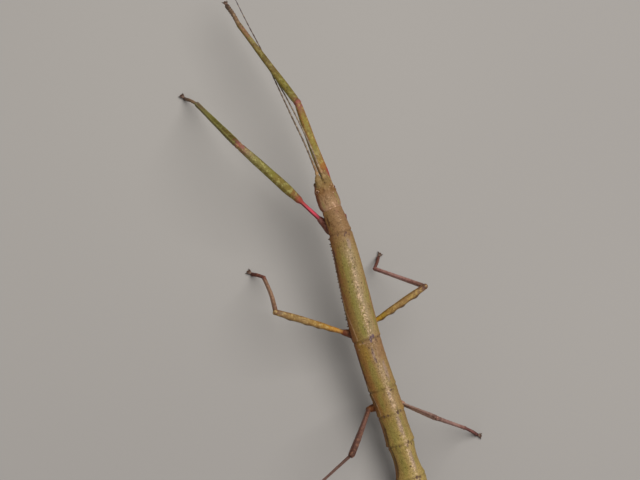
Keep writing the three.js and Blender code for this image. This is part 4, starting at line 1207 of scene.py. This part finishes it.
def trunk_knobs():
    """Station, turn in degrees, radius, height and tone of every knob of the trunk."""
    rows = []
    for kind, (count, sizes, tones) in GRAINS.items():
        for _ in range(count):
            station = chance.uniform(BORDERS["pronotum"] + 0.2, TAIL_END - 1.5)
            turn = chance.normal(0, 46)
            if kind == "pale":
                turn = chance.normal(0, 9)
            if kind == "dots" and chance.random() < 0.75:
                place, reach = DOT_PLACES[chance.integers(len(DOT_PLACES))]
                station, turn = chance.normal(place, reach), chance.normal(2, 13)
            size = chance.uniform(*sizes)
            rows.append((station, turn, size, size * KNOB_HEIGHT, chance.uniform(*tones)))
    for side in (1, -1):
        for station in np.arange(BORDERS["mesothorax"] + 0.3, BORDERS["metathorax"] - 0.4, EDGE_TEETH["spacing"]):
            turn, height, tone = (chance.uniform(*EDGE_TEETH[key]) for key in ("turn", "height", "tone"))
            rows.append((station + chance.uniform(-0.15, 0.15), side * turn, EDGE_TEETH["radius"], height, tone))
    return np.array(rows)


def head_knobs():
    """The same for the head."""
    rows = []
    for _ in range(HEAD_GRAINS):
        size = chance.uniform(0.04, 0.075)
        rows.append((chance.uniform(1.3, 4.2), chance.normal(0, 48), size, size * KNOB_HEIGHT, chance.uniform(-0.2, 0.1)))
    for at, turn, _, _ in HEAD_MARKS["pale"]:
        rows.append((at, turn, 0.09, 0.05, 0.15))
    return np.array(rows)


def make_knobs(name, shell, rows, material, floor):
    """Small domes on a shell, with its paint. floor is where their band of the bake's map starts."""
    station, turn, size, height, tone = rows.T
    turn = (turn * DEGREE + math.pi) % (2 * math.pi) - math.pi
    band = station // 40
    u = (station - 40 * band) / 41
    v = floor + 0.3 * band + 0.28 * (turn / (2 * math.pi) + 0.5)
    cells = np.stack([u, v], 1) // KNOB_CELL
    _, kept = np.unique(cells, axis=0, return_index=True)
    station, turn, size, height, tone, cells = (v[kept] for v in (station, turn, size, height, tone, cells))
    point, normal = shell.read(shell.points, station, turn), unit(shell.read(shell.normals, station, turn))
    onward = unit(np.cross(normal, spine.frames(station).across))
    across = np.cross(normal, onward)
    ring = np.arange(KNOB_SIDES) * 2 * math.pi / KNOB_SIDES
    ways = across[:, None] * np.cos(ring)[:, None] + onward[:, None] * np.sin(ring)[:, None]
    layers = [point[:, None] + ways * (size * out)[:, None, None] + (normal * (height * up)[:, None])[:, None]
              for out, up in KNOB_RINGS]
    poles = [(point + normal * (height * up)[:, None])[:, None] for up in (1.0, -0.6)]
    vertices = np.concatenate([*layers, *poles], axis=1)
    faces, uv = knob_faces(len(station), (cells + 0.5) * KNOB_CELL, ring)
    knobs = mesh_object(name, in_frame(vertices.reshape(-1, 3)), faces, [material])
    written = {key: shell.read(np.broadcast_to(v, shell.points.shape[:2]), station, turn) for key, v in shell.tags.items()}
    written |= {"light": tone.clip(0, 1), "dot": (-tone).clip(0, 1)}
    tag(knobs, **{key: np.repeat(values, vertices.shape[1]) for key, values in written.items()})
    write_map(knobs, uv)
    wear(knobs, "shell")


def knob_faces(count, centres, ring):
    """The faces of every knob and their places in its patch of the map."""
    faces, uv = [], []
    rim, shoulder, foot = (KNOB_CELL * share * np.stack([np.cos(ring), np.sin(ring)], 1) for share in (0.36, 0.22, 0.44))
    for number in range(count):
        base, centre = number * (2 * KNOB_SIDES + 2), centres[number]
        top, bottom = base + 2 * KNOB_SIDES, base + 2 * KNOB_SIDES + 1
        for i in range(KNOB_SIDES):
            j = (i + 1) % KNOB_SIDES
            a, b, c, d = base + i, base + j, base + KNOB_SIDES + j, base + KNOB_SIDES + i
            faces += [(a, b, c, d), (d, c, top), (b, a, bottom)]
            uv += [centre + rim[i], centre + rim[j], centre + shoulder[j], centre + shoulder[i]]
            uv += [centre + shoulder[i], centre + shoulder[j], centre]
            uv += [centre + rim[j], centre + rim[i], centre + (foot[i] + foot[j]) / 2]
    return faces, uv


# ---------------------------------------------------------------- stage

def make_camera():
    towards, up = Vector(CAMERA["towards"]).normalized(), Vector(CAMERA_UP)
    right = up.cross(towards).normalized()
    up = towards.cross(right)
    place = Vector(in_frame(CAMERA["aim"])) + towards * CAMERA["distance"] * MM
    camera = bpy.data.cameras.new("camera")
    camera.lens = CAMERA["lens"]
    camera.sensor_width = CAMERA["sensor"]
    camera.clip_start = 0.005
    made = bpy.data.objects.new("camera", camera)
    made.matrix_world = Matrix.Translation(place) @ Matrix((right, up, towards)).transposed().to_4x4()
    bpy.context.scene.collection.objects.link(made)
    bpy.context.scene.camera = made


def make_light(name, place, size, power, colour=(1, 1, 1)):
    light = bpy.data.lights.new(name, "AREA")
    light.shape = "DISK"
    light.size = size
    light.energy = power
    light.color = colour
    made = bpy.data.objects.new(name, light)
    made.location = place
    made.rotation_euler = (-Vector(place)).to_track_quat("-Z", "Y").to_euler()
    bpy.context.scene.collection.objects.link(made)


def make_stage():
    half = 1.5
    corners_of_floor = [(-half, -half, 0), (half, -half, 0), (half, half, 0), (-half, half, 0)]
    mesh_object("floor", corners_of_floor, [(0, 1, 2, 3)], [PAINTS["floor"]])
    make_light("key", (-0.12, -0.06, 0.45), 0.5, 2.9, (1, 0.97, 0.93))
    make_light("fill", (0.45, 0.3, 0.35), 0.5, 0.4, (1, 0.98, 0.95))
    world = bpy.data.worlds.new("studio")
    world.use_nodes = True
    world.node_tree.nodes["Background"].inputs["Color"].default_value = (1, 0.97, 0.94, 1)
    world.node_tree.nodes["Background"].inputs["Strength"].default_value = 0.36
    bpy.context.scene.world = world
    bpy.context.scene.view_settings.view_transform = "Standard"


make_camera()
trunk, head = trunk_grid(), head_grid()
make_skin(trunk, head)
make_knobs("knobs", trunk, trunk_knobs(), PAINTS["trunk"], 0.0)
make_knobs("head_knobs", head, head_knobs(), PAINTS["head"], 0.7)
make_plate()
make_eye("left", 1)
make_eye("right", -1)
make_mouth()
for leg in LEGS:
    make_claws(leg)
make_stage()
